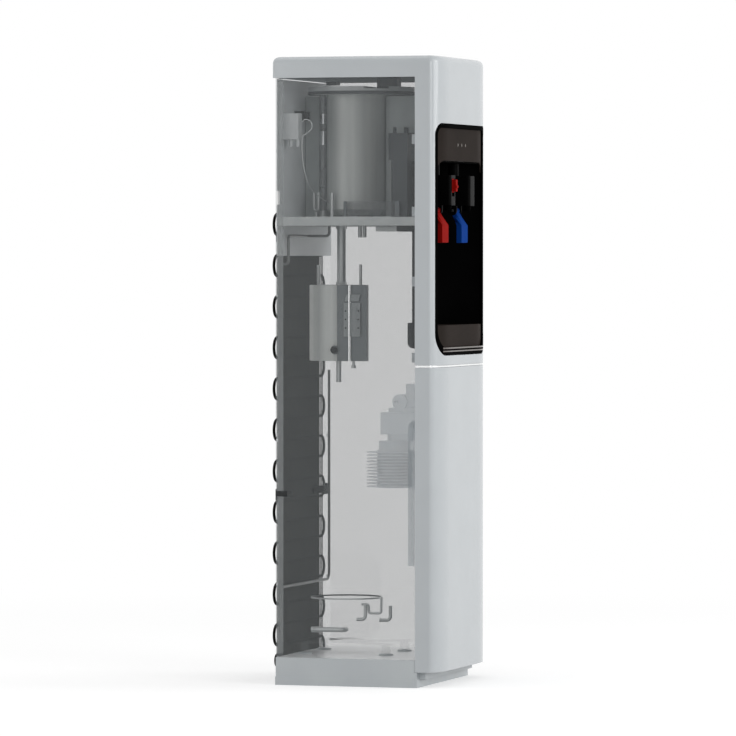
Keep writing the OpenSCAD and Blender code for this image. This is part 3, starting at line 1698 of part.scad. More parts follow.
// Straps that hold the condenser on the rear flanges, the lower two with a stop block
clip_h = 18.5;
clip_x1 = 58;
clip_x2 = 137;
clip_w = 14;
clip_z = 305.5;
clip_rise = 425;
strap_h = 12;
clip_d = coil_back - coil_d / 2 - 2 * seat;
module condenser_clips() {
  color("#101010") both_sides()
    union() {
      for (z = [clip_z, clip_z + clip_rise])
        translate([0, y_rear + seat / 2, z + clip_h / 2])
          rotate([-90, 0, 0])
            linear_extrude(height = coil_back - coil_d / 2 - wire_d - seat)
              polygon(concat(
                [[clip_x2, strap_h / 2], [clip_x2, -strap_h / 2]],
                arc(clip_x1 + strap_h / 2, 0, strap_h / 2, strap_h / 2, -90, -270, 8)
              ));
      block([clip_x2 - clip_w, y_rear + seat / 2, clip_z], [clip_x2, y_rear + clip_d, clip_z + clip_h]);
      translate([clip_x2, y_rear + seat / 2 + clip_d / 2, clip_z])
        cylinder(h = clip_h, r = clip_d / 2 - seat / 2);
    }
}

// Refrigerant line from the tank shelf down to the condenser
line_r = 2.3;
line_bend = 12;
line_x = -106;
line_in = 8.5;
line_y = y_rear - line_in;
line_hub_x = -8;
line_hub_back = 13;
line_fall = 16.5;
line_tuck = 14;
line_route = [
  [line_hub_x, hot_y + line_hub_back, shelf_top - sheet_t - seat],
  [line_hub_x, hot_y + line_hub_back, shelf_low - line_fall],
  [line_hub_x, line_y, shelf_low - line_fall],
  [line_x, line_y, shelf_low - line_fall],
  [line_x, line_y, rear_low - line_tuck],
  [line_x, coil_y - coil_d / 2 - wire_d - seat, rear_low - line_tuck]
];
// Discharge line: down the far rear flange, across, and down the near one
discharge_x = 131;
discharge_y = y_rear - sheet_t - seat - line_r;
discharge_top = 517;
discharge_cross = 161;
discharge_low = 90;
discharge_route = [
  [discharge_x, discharge_y, discharge_top],
  [discharge_x, discharge_y, discharge_cross],
  [-discharge_x, discharge_y, discharge_cross],
  [-discharge_x, discharge_y, discharge_low]
];
module refrigerant_line() {
  color("#4c4f4f") {
    pipe(line_route, line_r, line_bend / 2);
    pipe(discharge_route, line_r, line_bend);
  }
}

// Filter head: the manifold and its bracket on the lower front panel
filter_in = 121.5;
filter_y = y_front + filter_in;
head_low = filter_z + filter_h + seat;
neck_h = 11;
head_neck_r = 12;
head_x = 22;
head_lead = 52;
head_y1 = filter_y - head_lead;
head_back = 18;
head_y2 = filter_y + head_back;
head_h = 37;
lug_h = 7;
lug_r = 13;
lug_lead = 12;
pin_hole_lead = 5.5;
hook_top_h = 22;
bracket_x = 30;
bracket_t = 3;
bracket_rise = 40;
module filter_head() {
  color("#939b9d") translate([0, 0, head_low])
    difference() {
      union() {
        translate([0, filter_y, 0])
          cylinder(h = neck_h + over, r = head_neck_r);
        block([-head_neck_r, head_y1, 0], [head_neck_r, filter_y, neck_h + over]);
        block([-head_x, head_y1, neck_h], [head_x, head_y2, neck_h + head_h]);
        block([-head_x / 2, head_y1, neck_h + head_h - over],
          [head_x / 2, filter_y + lug_h, neck_h + head_h + lug_h]);
        translate([0, filter_y - lug_lead, neck_h + head_h + lug_h + lug_r - bracket_t])
          rotate([0, 90, 0])
            cylinder(h = head_x, r = lug_r, center = true);
        block([-head_x / 3, head_y1, neck_h + head_h],
          [head_x / 3, filter_y - hook_top_h, neck_h + head_h + 2 * hook_top_h + lug_h / 2]);
        // bracket that hooks behind the front panel's face
        block([-bracket_x, y_front + shell_t + seat, neck_h + head_h / 2],
          [bracket_x, head_y1 + over, neck_h + head_h / 2 + bracket_t]);
        block([-bracket_x, y_front + shell_t + seat, -bracket_rise],
          [bracket_x, y_front + shell_t + seat + bracket_t, neck_h + head_h + bracket_rise]);
      }
      translate([-2 * head_x, filter_y - pin_hole_lead, neck_h + head_h + lug_h + lug_r - bracket_t])
        rotate([0, 90, 0])
          cylinder(h = 4 * head_x, r = bracket_t);
    }
}

// Filter cartridge: a cup with thin cooling rings that twists off the head
fin_n = 12;
fin_t = 1.4;
fin_share = 1.6;
fin_r = filter_r * fin_share;
fin_pitch = 5.2;
shoulder_h = 15;
shoulder_in = 2.7;
module filter_cartridge() {
  color("#8b9496") translate([0, filter_y, filter_z])
    union() {
      cylinder(h = filter_h - shoulder_h, r = filter_r);
      cylinder(h = filter_h, r = filter_r - shoulder_in);
      for (i = [0:fin_n - 1])
        translate([0, 0, fin_t + fin_pitch * i])
          cylinder(h = fin_t, r = fin_r, $fn = 64);
    }
}

// Tube that runs down from the head behind the lower front panel
filter_tube_r = 5.5;
filter_tube_x = -50;
filter_tube_lead = 44.5;
filter_tube_y = filter_y - filter_tube_lead;
filter_tube_drop = 128;
filter_tube_low = filter_z - filter_tube_drop;
filter_tube_bend = 12;
module filter_tube() {
  color("#9aa2a4") pipe([
    [-head_x - seat, filter_tube_y, head_low + neck_h + head_h / 2],
    [filter_tube_x, filter_tube_y, head_low + neck_h + head_h / 2],
    [filter_tube_x, filter_tube_y, filter_tube_low]
  ], filter_tube_r, filter_tube_bend);
}

// Rear services: push-fit water inlet, two rocker switches and the power inlet
inlet_x = 60;
inlet_drop = 95;
inlet_z = cab_h - inlet_drop;
inlet_r = 8;
inlet_len = 26;
inlet_flange_r = 13;
inlet_in = 8;
inlet_out = 9;
module inlet_cut() {
  translate([inlet_x, rear_y1 - over, inlet_z])
    rotate([-90, 0, 0])
      cylinder(h = sheet_t + 2 * over + bead_t, r = inlet_r + pass);
}
module water_inlet() {
  color("#e3e5e5") translate([inlet_x, rear_y2 + seat, inlet_z])
    rotate([-90, 0, 0])
      difference() {
        union() {
          cylinder(h = bead_t, r = inlet_flange_r);
          translate([0, 0, -inlet_in])
            cylinder(h = inlet_in + inlet_out, r = inlet_r);
        }
        translate([0, 0, -inlet_in + bead_t])
          cylinder(h = inlet_len, r = bore_r);
      }
}

switch_w = 21;
switch_h = 15;
switch_d = 12;
switch_gap = 30;
switch_x = -30;
switch_rim = 3;
switch_tilt = 7;
rocker_r = 4.8;
rocker_rise = 5.2;
rocker_dip = 1;
rocker_pin = 1.5;
rocker_deep = 2.5;
module switch_cut() {
  for (s = [-1, 1])
    block([switch_x + s * switch_gap / 2 - switch_w / 2 - pass, rear_y1 - over,
      inlet_z - switch_h / 2 - pass],
      [switch_x + s * switch_gap / 2 + switch_w / 2 + pass, rear_y2 + over + bead_t,
        inlet_z + switch_h / 2 + pass]);
}
module switch_frame() {
  color("#141414") for (s = [-1, 1])
    translate([switch_x + s * switch_gap / 2, rear_y2 + seat, inlet_z])
      difference() {
        union() {
          block([-switch_w / 2 - switch_rim, 0, -switch_h / 2 - switch_rim],
            [switch_w / 2 + switch_rim, bead_t, switch_h / 2 + switch_rim]);
          block([-switch_w / 2, -switch_d, -switch_h / 2], [switch_w / 2, over, switch_h / 2]);
        }
        block([-switch_w / 2 + bead_t, -switch_d + bead_t, -switch_h / 2 + bead_t],
          [switch_w / 2 - bead_t, bead_t + over, switch_h / 2 - bead_t]);
        translate([-switch_w, -rocker_deep, 0])
          rotate([0, 90, 0])
            cylinder(h = 2 * switch_w, r = rocker_pin + pin_gap);
      }
}
// A rocker that tilts on its own pin, at rest with its top pressed in
module rocker(s) {
  w = switch_w - 2 * bead_t - 2 * seat;
  translate([switch_x + s * switch_gap / 2, rear_y2 + seat - rocker_deep, inlet_z])
    rotate([switch_tilt, 0, 0])
      rotate([90, 0, 90])
        union() {
          translate([0, 0, -w / 2])
            linear_extrude(height = w)
              polygon(concat(
                arc(0, 0, rocker_r, rocker_r, 100, 260, 16),
                [[rocker_rise, -rocker_r], [rocker_rise - rocker_dip, 0], [rocker_rise, rocker_r]]
              ));
          translate([0, 0, -switch_w / 2])
            cylinder(h = switch_w, r = rocker_pin);
        }
}
module hot_switch() {
  color("#b51d1d") rocker(-1);
}
module cold_switch() {
  color("#2a7a3c") rocker(1);
}

power_x = 95;
power_w = 28;
power_h = 20;
power_drop = 1;
power_z = base_h / 2 - power_drop;
power_d = 16;
module power_cut() {
  block([power_x - power_w / 2 - pass, y_rear - base_t - over, power_z - power_h / 2 - pass],
    [power_x + power_w / 2 + pass, y_rear + foot_lip + over, power_z + power_h / 2 + pass]);
}
module power_inlet() {
  color("#151515") translate([power_x, y_rear, power_z])
    difference() {
      union() {
        block([-power_w / 2, -power_d, -power_h / 2], [power_w / 2, foot_lip + bead_t, power_h / 2]);
        block([-power_w / 2 - bead_t, foot_lip + seat, -power_h / 2 - bead_t / 2],
          [power_w / 2 + bead_t, foot_lip + bead_t, power_h / 2 + bead_t / 2]);
      }
      block([-power_w / 2 + bead_t, -power_d + bead_t, -power_h / 2 + bead_t],
        [power_w / 2 - bead_t, foot_lip + bead_t + over, power_h / 2 - bead_t]);
    }
}

base_tray();
left_side_panel();
right_side_panel();
rear_panel();
upper_shell();
lower_front_panel();
seam_strip();
shelf();
cabinet_screws();
alcove_bezel();
alcove_liner();
control_fascia();
indicator_lenses();
control_board();
hot_tap_housing();
cold_tap_housing();
tap_nozzles();
paddle_pins();
hot_paddle();
cold_paddle();
safety_lock();
drip_tray();
drip_grille();
valve_housing();
cold_tank();
cold_tank_lid();
inlet_fittings();
float_arm();
float_ball();
insulation_half();
tank_cradle();
vent_tube();
cold_tank_tubes();
thermostat_box();
capillary_tube();
evaporator_coil();
hot_tank();
hot_tank_plate();
hot_thermostats();
reset_button();
hot_feed_pipe();
hot_tank_tubes();
heating_element();
compressor_shell();
compressor_cap();
compressor_ring();
compressor_tubes();
compressor_feet();
condenser_coil();
condenser_wires();
condenser_clips();
refrigerant_line();
filter_head();
filter_cartridge();
filter_tube();
water_inlet();
hot_switch();
cold_switch();
switch_frame();
power_inlet();
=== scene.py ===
# %% [markdown]
# # A bottleless water cooler, cut open
# A tall cabinet stands on a low base. A bowed plastic front holds the dispensing alcove, and the two steel
# sides are shown see-through, so the tanks, the tubes, the filter and the refrigeration parts can be seen.
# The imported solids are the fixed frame. Each piece below takes its place and its size from them. The script
# goes from the view and the light to the finishes, and then through the object from the outside to the inside.

# %% Load the fixed frame
import json
import math

import bmesh
import bpy
from mathutils import Matrix, Vector
from mathutils.bvhtree import BVHTree

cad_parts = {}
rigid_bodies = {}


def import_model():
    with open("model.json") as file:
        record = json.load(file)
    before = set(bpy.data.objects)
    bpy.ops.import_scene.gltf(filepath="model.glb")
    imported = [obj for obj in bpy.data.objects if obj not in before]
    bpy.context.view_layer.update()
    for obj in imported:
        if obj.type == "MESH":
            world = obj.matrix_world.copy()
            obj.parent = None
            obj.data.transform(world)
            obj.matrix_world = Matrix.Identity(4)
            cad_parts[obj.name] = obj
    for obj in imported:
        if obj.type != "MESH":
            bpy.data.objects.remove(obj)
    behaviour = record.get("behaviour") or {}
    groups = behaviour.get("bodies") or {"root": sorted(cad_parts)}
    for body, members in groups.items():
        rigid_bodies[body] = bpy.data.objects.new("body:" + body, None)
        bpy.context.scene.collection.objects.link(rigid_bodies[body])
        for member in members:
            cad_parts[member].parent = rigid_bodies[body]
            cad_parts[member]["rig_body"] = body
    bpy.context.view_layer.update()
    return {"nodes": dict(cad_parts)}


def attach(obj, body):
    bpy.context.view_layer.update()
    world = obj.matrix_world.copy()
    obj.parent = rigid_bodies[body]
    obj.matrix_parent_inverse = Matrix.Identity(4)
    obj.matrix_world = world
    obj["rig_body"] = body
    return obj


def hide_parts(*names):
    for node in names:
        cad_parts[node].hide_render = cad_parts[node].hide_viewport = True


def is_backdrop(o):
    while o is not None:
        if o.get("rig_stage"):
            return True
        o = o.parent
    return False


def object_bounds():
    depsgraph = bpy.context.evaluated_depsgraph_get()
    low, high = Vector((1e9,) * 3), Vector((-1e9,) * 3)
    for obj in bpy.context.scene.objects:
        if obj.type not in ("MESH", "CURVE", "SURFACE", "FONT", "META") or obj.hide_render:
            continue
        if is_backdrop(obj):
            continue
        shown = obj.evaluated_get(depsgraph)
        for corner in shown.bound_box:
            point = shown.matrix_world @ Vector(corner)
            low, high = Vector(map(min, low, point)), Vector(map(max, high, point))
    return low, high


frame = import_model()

# %% [markdown]
# ## The camera
# The photograph was taken from far off with a long lens, so upright edges stay parallel. A camera close by
# with a short lens would show more of the top and make the base narrow. The same view comes from 9.4 m away,
# almost level, looking mostly at the left side. A small shift moves the picture in its frame and leaves the
# upright edges alone, which turning the camera wouldn't. The camera is made first, because every later choice
# is seen through it.

# %% Place the camera
FRAME_PX = 736
FOCAL_MM, SENSOR_MM, FARTHEST = 274.8, 36, 200
SHIFT_RIGHT_PX, SHIFT_UP_PX = 12, 1.8

scene = bpy.context.scene
aim = Vector((0, 0.045, 0.520))
turn, rise, distance = math.radians(-72.6), math.radians(1.16), 9.416
back = Vector((math.sin(turn) * math.cos(rise), -math.cos(turn) * math.cos(rise), math.sin(rise)))
lens = bpy.data.cameras.new("studio_camera")
lens.lens, lens.sensor_width, lens.clip_end = FOCAL_MM, SENSOR_MM, FARTHEST
lens.shift_x, lens.shift_y = SHIFT_RIGHT_PX / FRAME_PX, SHIFT_UP_PX / FRAME_PX
camera = bpy.data.objects.new("studio_camera", lens)
scene.collection.objects.link(camera)
camera.location = aim + back * distance
camera.rotation_mode = "QUATERNION"
camera.rotation_quaternion = (-back).to_track_quat("-Z", "Y")
scene.camera = camera
scene.view_settings.view_transform = "Standard"
print("camera at", [round(v, 3) for v in camera.location])

# %% [markdown]
# ## Two small helpers for materials
# A colour in a picture is written as an sRGB hex value, while a shader wants linear light, so one function
# turns it. The other adds a shader node with its settings and its incoming links in one line, which keeps
# each recipe short enough to read. Both are used by every material below.

# %% Colour and node helpers
def linear(hex_value):
    """An sRGB hex value such as c9cdd0 as a linear colour with full opacity."""
    parts = [int(hex_value[i:i + 2], 16) / 255 for i in (0, 2, 4)]
    return tuple(p / 12.92 if p <= 0.04045 else ((p + 0.055) / 1.055) ** 2.4 for p in parts) + (1.0,)


def add(tree, kind, settings=None, links=None):
    """Adds a shader node. A key that names a socket, or is its number, sets that socket."""
    made = tree.nodes.new(kind)
    for key, value in (settings or {}).items():
        if isinstance(key, str) and hasattr(made, key):
            setattr(made, key, value)
        else:
            made.inputs[key].default_value = value
    for key, source in (links or {}).items():
        tree.links.new(source, made.inputs[key])
    return made


print("mid grey 808080 is", round(linear("808080")[0], 3), "in linear light")

# %% [markdown]
# ## A background that only shows
# The background has to be white, but a white world would also throw so much light on the pale cabinet that its
# shades disappear. A ray can be asked what it is for. Rays from the camera, from a mirror-like surface and
# through glass get the white background, and all other rays get the weaker light that the object needs.

# %% Which rays see the background
def background_rays(tree):
    """A socket that is 1 for camera, transmission and glossy rays, and 0 for all others."""
    path = add(tree, "ShaderNodeLightPath")
    found = path.outputs["Is Camera Ray"]
    for ray in ("Is Transmission Ray", "Is Glossy Ray"):
        found = add(tree, "ShaderNodeMath", {"operation": "MAXIMUM"}, {0: found, 1: path.outputs[ray]}).outputs[0]
    return found


print("three kinds of ray see the white background")

# %% [markdown]
# The world is a plain shader with one strength for the rays above and one for all others. An image of a studio
# would put windows and lamps into every gloss, and nothing of that kind shows on the photographed cooler.

# %% The world
WORLD_FILL, WORLD_SHOWN = 0.50, 1.0
WHITE = linear("ffffff")

world = bpy.data.worlds.new("studio_world")
scene.world = world
world.use_nodes = True
sky = world.node_tree
sky.nodes.clear()
level = add(sky, "ShaderNodeMapRange", {"To Min": WORLD_FILL, "To Max": WORLD_SHOWN}, {"Value": background_rays(sky)})
glow = add(sky, "ShaderNodeBackground", {"Color": WHITE}, {"Strength": level.outputs[0]})
add(sky, "ShaderNodeOutputWorld", links={"Surface": glow.outputs[0]})
print("the world fills the shadows at strength", WORLD_FILL)

# %% [markdown]
# ## Studio light
# The photograph has soft, even light with no hard shadow, as from large white screens. A sun lamp would give
# sharp edges, so square area lamps of 1.4 to 2 m are used. Two stand before the bowed front, and the left one
# of them also reaches in through the see-through side to the rear wall. A side lamp lights the tanks' left
# halves, a weak one stands behind, and one hangs above.

# %% Lamps
def softbox(name, place, target, size, power):
    """A square area lamp at a place, facing a target. Size in metres, power in watts."""
    lamp = bpy.data.lights.new(name, "AREA")
    lamp.shape, lamp.size, lamp.energy = "SQUARE", size, power
    holder = bpy.data.objects.new(name, lamp)
    scene.collection.objects.link(holder)
    holder.location = place
    holder.rotation_mode = "QUATERNION"
    holder.rotation_quaternion = (Vector(target) - Vector(place)).to_track_quat("-Z", "Y")
    return holder


lamps = [softbox("front_lamp", (1.2, -3.4, 1.5), (0, 0, 0.6), 1.8, 36),
         softbox("left_lamp", (-1.6, -3.2, 1.3), (0, 0, 0.7), 1.4, 26),
         softbox("side_lamp", (-3.3, 1.9, 1.4), (0, 0, 0.7), 1.6, 14),
         softbox("rear_lamp", (-1.0, 3.6, 1.8), (0, 0, 0.6), 1.8, 16),
         softbox("top_lamp", (0.0, 0.6, 3.8), (0, 0, 0.9), 2.0, 14)]
print("lamps placed:", len(lamps), "with", sum(lamp.data.energy for lamp in lamps), "watts in all")

# %% [markdown]
# ## The floor
# A pale sheet runs far past the cabinet. A small sheet would show its edge as a line behind the object. Near
# the cabinet it is matt paper that takes the soft shadow, and farther off it goes over to plain white, so it
# meets the background without a horizon. To the light on its way to the object it is plain pale paper.

# %% Floor
FLOOR_SIZE = 120.0
SHADOW_ENDS_FROM, SHADOW_ENDS_AT = 0.7, 2.6
PAPER, PAPER_UNSEEN, PAPER_LIFT = linear("e7e7e7"), linear("dadada"), 0.42

form = bmesh.new()
bmesh.ops.create_grid(form, x_segments=4, y_segments=4, size=FLOOR_SIZE / 2)
sheet = bpy.data.meshes.new("studio_floor")
form.to_mesh(sheet)
form.free()
floor = bpy.data.objects.new("studio_floor", sheet)
scene.collection.objects.link(floor)
paper = bpy.data.materials.new("studio_paper")
paper.use_nodes = True
tree = paper.node_tree
tree.nodes.clear()
place = add(tree, "ShaderNodeTexCoord")
reach = add(tree, "ShaderNodeVectorMath", {"operation": "LENGTH"}, {0: place.outputs["Object"]})
far = add(tree, "ShaderNodeMapRange",
          {"From Min": SHADOW_ENDS_FROM, "From Max": SHADOW_ENDS_AT, "interpolation_type": "SMOOTHSTEP"},
          {"Value": reach.outputs["Value"]})
matt = add(tree, "ShaderNodeBsdfDiffuse", {"Color": PAPER})
lift = add(tree, "ShaderNodeEmission", {"Color": WHITE, "Strength": PAPER_LIFT})
near_floor = add(tree, "ShaderNodeAddShader", links={0: matt.outputs[0], 1: lift.outputs[0]})
white = add(tree, "ShaderNodeEmission", {"Color": WHITE, "Strength": 1.0})
shown = add(tree, "ShaderNodeMixShader", links={0: far.outputs[0], 1: near_floor.outputs[0], 2: white.outputs[0]})
plain = add(tree, "ShaderNodeBsdfDiffuse", {"Color": PAPER_UNSEEN})
both = add(tree, "ShaderNodeMixShader", links={0: background_rays(tree), 1: plain.outputs[0], 2: shown.outputs[0]})
add(tree, "ShaderNodeOutputMaterial", links={"Surface": both.outputs[0]})
sheet.materials.append(paper)
floor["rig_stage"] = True
print("floor is", FLOOR_SIZE, "m square")

# %% [markdown]
# ## How a finish is built
# Real plastic, paint and metal are never one flat colour. A picture of the surface could be wrapped round each
# piece, but it would stretch and show its seams. Noise that is worked out at each place in the object needs no
# wrapping and runs on from face to face. Each finish here drifts between two close shades over a few
# centimetres, has a fine grain that changes its gloss, and the same grain raises a shallow relief. Both sizes
# are given in millimetres. The stretch turns specks into brush marks or drawn lines. A grain of 0.5 to 5 mm is
# coarser than most real ones, because a finer one wouldn't show at this distance.

# %% The finish recipe
NOISE_LOW, NOISE_HIGH = 0.3, 0.7
RELIEF_STRENGTH, COAT_ROUGH, PLASTIC_IOR = 0.6, 0.08, 1.5


def finish(name, shade, second, grain, rough, relief=0.00002, metallic=0.0, drift=60.0, stretch=(1, 1, 1),
           coat=0.0, alpha=1.0, gleam=0.5):
    """A material whose two shades drift over drift mm and whose grain of some mm carries gloss and relief.

    rough is the lowest and highest roughness, relief the grain's height in metres, gleam the strength of the
    mirror-like part, coat a clear glossy layer, and alpha what is left of the body.
    """
    made = bpy.data.materials.new(name)
    made.use_nodes = True
    tree = made.node_tree
    tree.nodes.clear()
    place = add(tree, "ShaderNodeTexCoord")
    scaled = add(tree, "ShaderNodeMapping", {"Scale": stretch}, {"Vector": place.outputs["Object"]})
    broad = add(tree, "ShaderNodeTexNoise", {"Scale": 1000 / drift, "Detail": 2.0}, {"Vector": scaled.outputs[0]})
    fine = add(tree, "ShaderNodeTexNoise", {"Scale": 1000 / grain, "Detail": 3.0}, {"Vector": scaled.outputs[0]})
    spread = add(tree, "ShaderNodeMapRange", {"From Min": NOISE_LOW, "From Max": NOISE_HIGH},
                 {"Value": broad.outputs["Fac"]})
    tint = add(tree, "ShaderNodeMix", {"data_type": "RGBA", 6: linear(shade), 7: linear(second)},
               {0: spread.outputs[0]})
    gloss = add(tree, "ShaderNodeMapRange",
                {"From Min": NOISE_LOW, "From Max": NOISE_HIGH, "To Min": rough[0], "To Max": rough[1]},
                {"Value": fine.outputs["Fac"]})
    bump = add(tree, "ShaderNodeBump", {"Strength": RELIEF_STRENGTH, "Distance": relief},
               {"Height": fine.outputs["Fac"]})
    skin = add(tree, "ShaderNodeBsdfPrincipled",
               {"Metallic": metallic, "IOR": PLASTIC_IOR, "Alpha": alpha, "Coat Weight": coat,
                "Coat Roughness": COAT_ROUGH, "Specular IOR Level": gleam},
               {"Base Color": tint.outputs[2], "Roughness": gloss.outputs[0], "Normal": bump.outputs[0]})
    add(tree, "ShaderNodeOutputMaterial", links={"Surface": skin.outputs[0]})
    return made


print("a finish has two shades, a grain and a gloss")

# %% [markdown]
# ## The cabinet's finishes
# The cabinet is painted sheet steel with a moulded front. The sheets differ in their paint and the trim in its
# plastic, so each gets its own recipe and not one grey for all. The hex values are close to what the surface
# shows in plain light.

# %% Cabinet finishes
# Moulded ABS keeps a soft sheen and an even, slightly cool white.
GLOSS_ABS = finish("moulded_white_abs", "c4c9cc", "c1c6c9", 1.6, (0.20, 0.28), 0.00001, coat=0.12, gleam=0.4)
# Powder coat melts to a fine orange peel, so its gloss breaks up.
POWDER_COAT = finish("powder_coated_sheet_steel", "c4c9cb", "bfc4c7", 0.9, (0.34, 0.46), 0.00003)
# The side panels are drawn see-through. A ray crosses two faces of each sheet, and each keeps about a fifth.
SMOKED_SHEET = finish("see_through_side_sheet", "8d9193", "888c8e", 1.2, (0.20, 0.28), alpha=0.18, gleam=0.3)
# Hot-dip zinc freezes in patches, which is why its grey drifts over a centimetre or so.
ZINC = finish("galvanised_sheet_steel", "979a99", "8b8f8f", 5.0, (0.30, 0.46), 0.00001, 0.6, drift=14)
# The seam strip is satin plastic, so bright that it reads as a thin white line.
PALE_TRIM = finish("pale_trim_plastic", "fafbfb", "f4f6f6", 1.2, (0.10, 0.18), metallic=0.6)
# Zinc plating is smooth and bright, so screws, pins and the float's rod are almost mirror-like.
BRIGHT_STEEL = finish("bright_zinc_plated_steel", "c9cbcc", "b9bcbe", 0.5, (0.20, 0.32), 0.00001, 1.0)
# The cabinet's floor is glossy, so at this low angle it takes up the white behind it. Its near-white colour is
# the base's white paint drawn lighter, as painted light for the light that the floor catches.
FLOOR_LIGHTENED_COAT = finish("floor_coat_lightened_painted_light", "fbfcfd", "f6f7f8", 4.0, (0.30, 0.34), 0.0, coat=0.1)
# The rear sheet has the same powder coat inside as outside. Its inside is drawn lighter, as painted light for
# the light that reaches the inside wall.
PAINTED_LIGHT_INNER_COAT = finish("inner_coat_with_painted_light", "dfe3e5", "d6dadc", 1.2, (0.34, 0.46))
# The folded rear edge of the see-through side is two sheets deep, so it hides a little more.
FLANGE_COAT = finish("see_through_flange_coat", "adb1b1", "a6aaaa", 1.2, (0.34, 0.46), alpha=0.30, gleam=0.3)
# A white full mirror takes up the white room and shows as a white line, a painted highlight.
WHITE_MIRROR_HIGHLIGHT = finish("white_mirror_painted_highlight", "fbfcfc", "f6f7f7", 2.0, (0.20, 0.24), 0.0, metallic=1.0)
print("the cabinet's finishes run from", GLOSS_ABS.name, "to", WHITE_MIRROR_HIGHLIGHT.name)

# %% [markdown]
# ## The dispensing side's finishes
# Around the taps everything is moulded plastic: black for the frame, the liner and the taps, a smoked brown
# for the panel and the tray, and dyed red and blue for the levers. Black plastic still mirrors some light. In
# the photograph it is almost pure black, so its mirror-like part is turned well down. A darker colour alone
# wouldn't do that.

# %% Dispensing finishes
# Polished black ABS shows little but a thin edge light.
BLACK_GLOSS = finish("black_gloss_abs", "0a0a0a", "070707", 1.4, (0.20, 0.28), gleam=0.012)
# A matt spark texture drinks the light and hides splashes.
BLACK_SATIN = finish("black_moulded_abs", "040404", "020202", 1.0, (0.55, 0.70), gleam=0.004)
# Tinted ABS of a warm grey-brown looks even and soft, with no clear reflection.
SMOKED_ABS = finish("smoked_brown_abs", "322c29", "2d2825", 1.5, (0.34, 0.46), gleam=0.004)
# The same brown plastic, drawn lighter and glossier along the rolled lip: a painted highlight, the lip's thin
# bright line.
LIP_HIGHLIGHT_ABS = finish("brown_abs_painted_highlight", "5a524c", "544c46", 1.5, (0.10, 0.16), 0.000004, gleam=0.35)
# The three indicators are milky and unlit, so they are only a shade lighter than the panel.
LENS = finish("milky_lens_plastic", "6a635d", "716a64", 1.0, (0.2, 0.3), gleam=0.2)
# Dyed plastic is one strong colour all through: red for hot, blue for cold, green for the cooling switch.
RED_ABS = finish("red_moulded_abs", "971510", "8c110c", 1.2, (0.32, 0.42), gleam=0.004)
BLUE_ABS = finish("blue_moulded_abs", "0d4092", "0b3a86", 1.2, (0.32, 0.42), gleam=0.004)
GREEN_ABS = finish("green_moulded_abs", "2f8f4a", "2a8443", 1.2, (0.32, 0.42), gleam=0.2)
# The board is glass-epoxy under a green lacquer, which is dark and a little uneven.
BOARD = finish("green_circuit_board", "1d4b33", "184029", 2.2, (0.3, 0.5))
print("the dispensing side's finishes run from", BLACK_GLOSS.name, "to", BOARD.name)

# %% [markdown]
# ## The finishes inside
# Inside are drawn steel tanks, tinned and lacquered tubes, plain moulded plastics, foam and rubber. Steel could
# be a full metal, but in soft light from large screens a full metal shows a few hard bright stripes, and the
# photograph's tanks are nearly matt. So the tanks are only part metallic and rather rough. Fine upright lines
# come from a noise that is drawn out along z, and the broad light and dark upright bands in their colour are
# painted reflection. Parts that the photograph leaves almost clear, such as the filter and the compressor's
# shells, keep a small part of their body.

# %% Tank and fitting finishes
# A drawn tank has fine upright draw marks, which give it a soft vertical shine.
STAINLESS = finish("drawn_stainless_steel", "cfd1d0", "bfc1c0", 0.9, (0.30, 0.40), 0.000004, 0.7,
                   stretch=(1, 1, 0.02))
# The two tank walls carry broad upright bands of lighter and darker grey in their colour, drawn out along z.
# They are painted reflection, the soft bands of light that brushed steel shows, with no mirror stripe.
TANK_STEEL_PAINTED_BANDS = finish("tank_steel_painted_reflection_bands", "e6e8e5", "b4b8b6", 0.9, (0.46, 0.58), 0.000004, 0.15, drift=26,
                    stretch=(1, 1, 0.01))
# Lids, boxes and fittings are moulded plastics in three greys, plain and soft in the light.
DARK_ABS = finish("dark_grey_abs", "474c4f", "404447", 1.2, (0.40, 0.50), gleam=0.2)
GREY_ABS = finish("grey_moulded_abs", "9a9fa0", "929798", 1.2, (0.35, 0.48), gleam=0.4)
WHITE_ABS = finish("white_moulded_pp", "d3d6d7", "c9cccd", 1.4, (0.3, 0.4))
# Milky polypropylene lets a good deal of light through, so the filter looks pale and bluish.
FILTER_PP = finish("milky_filter_pp", "dbe8ef", "d2dfe6", 1.4, (0.30, 0.42), alpha=0.34)
print("the tanks' and fittings' finishes run from", STAINLESS.name, "to", FILTER_PP.name)

# %% [markdown]
# The refrigeration parts are tubes, wires and shells. A tube is only a few pixels wide here, so its brightness
# along its length tells more than its grain. Its two shades are close, and its metallic part is set by how
# bright its upper side shows in the photograph.

# %% Tube, foam and refrigeration finishes
# Tinned steel tube is pale and half bright.
TUBE_STEEL = finish("tinned_steel_tube", "b9bcbc", "adb0b0", 0.6, (0.28, 0.42), 0.00001, 0.5)
# Under a dark lacquer the two refrigerant lines keep only a dull shine.
LINE_STEEL = finish("dark_lacquered_line", "6a6c6a", "5e605e", 0.6, (0.30, 0.44), 0.00001, 0.3, gleam=0.3)
# Rolled bracket steel has a dark mill skin.
DARK_STEEL = finish("dark_bracket_steel", "5c6163", "515658", 0.8, (0.38, 0.5), 0.00002, 0.5)
# Drawn copper is a warm full metal.
COPPER = finish("drawn_copper_tube", "b87456", "a8664a", 0.6, (0.25, 0.38), 0.00001, 1.0)
# Expanded foam has a beady, quite matt skin.
FOAM = finish("grey_insulation_foam", "c0c6c6", "b6bcbc", 2.5, (0.8, 0.95), 0.0002, drift=18, gleam=0.1)
# Silicone tube is smooth and clear, so its edges gleam more than its middle.
CLEAR_TUBE = finish("clear_silicone_tube", "c8cdcf", "bfc4c6", 1.0, (0.06, 0.12), 0.000002, alpha=0.4, gleam=1.0)
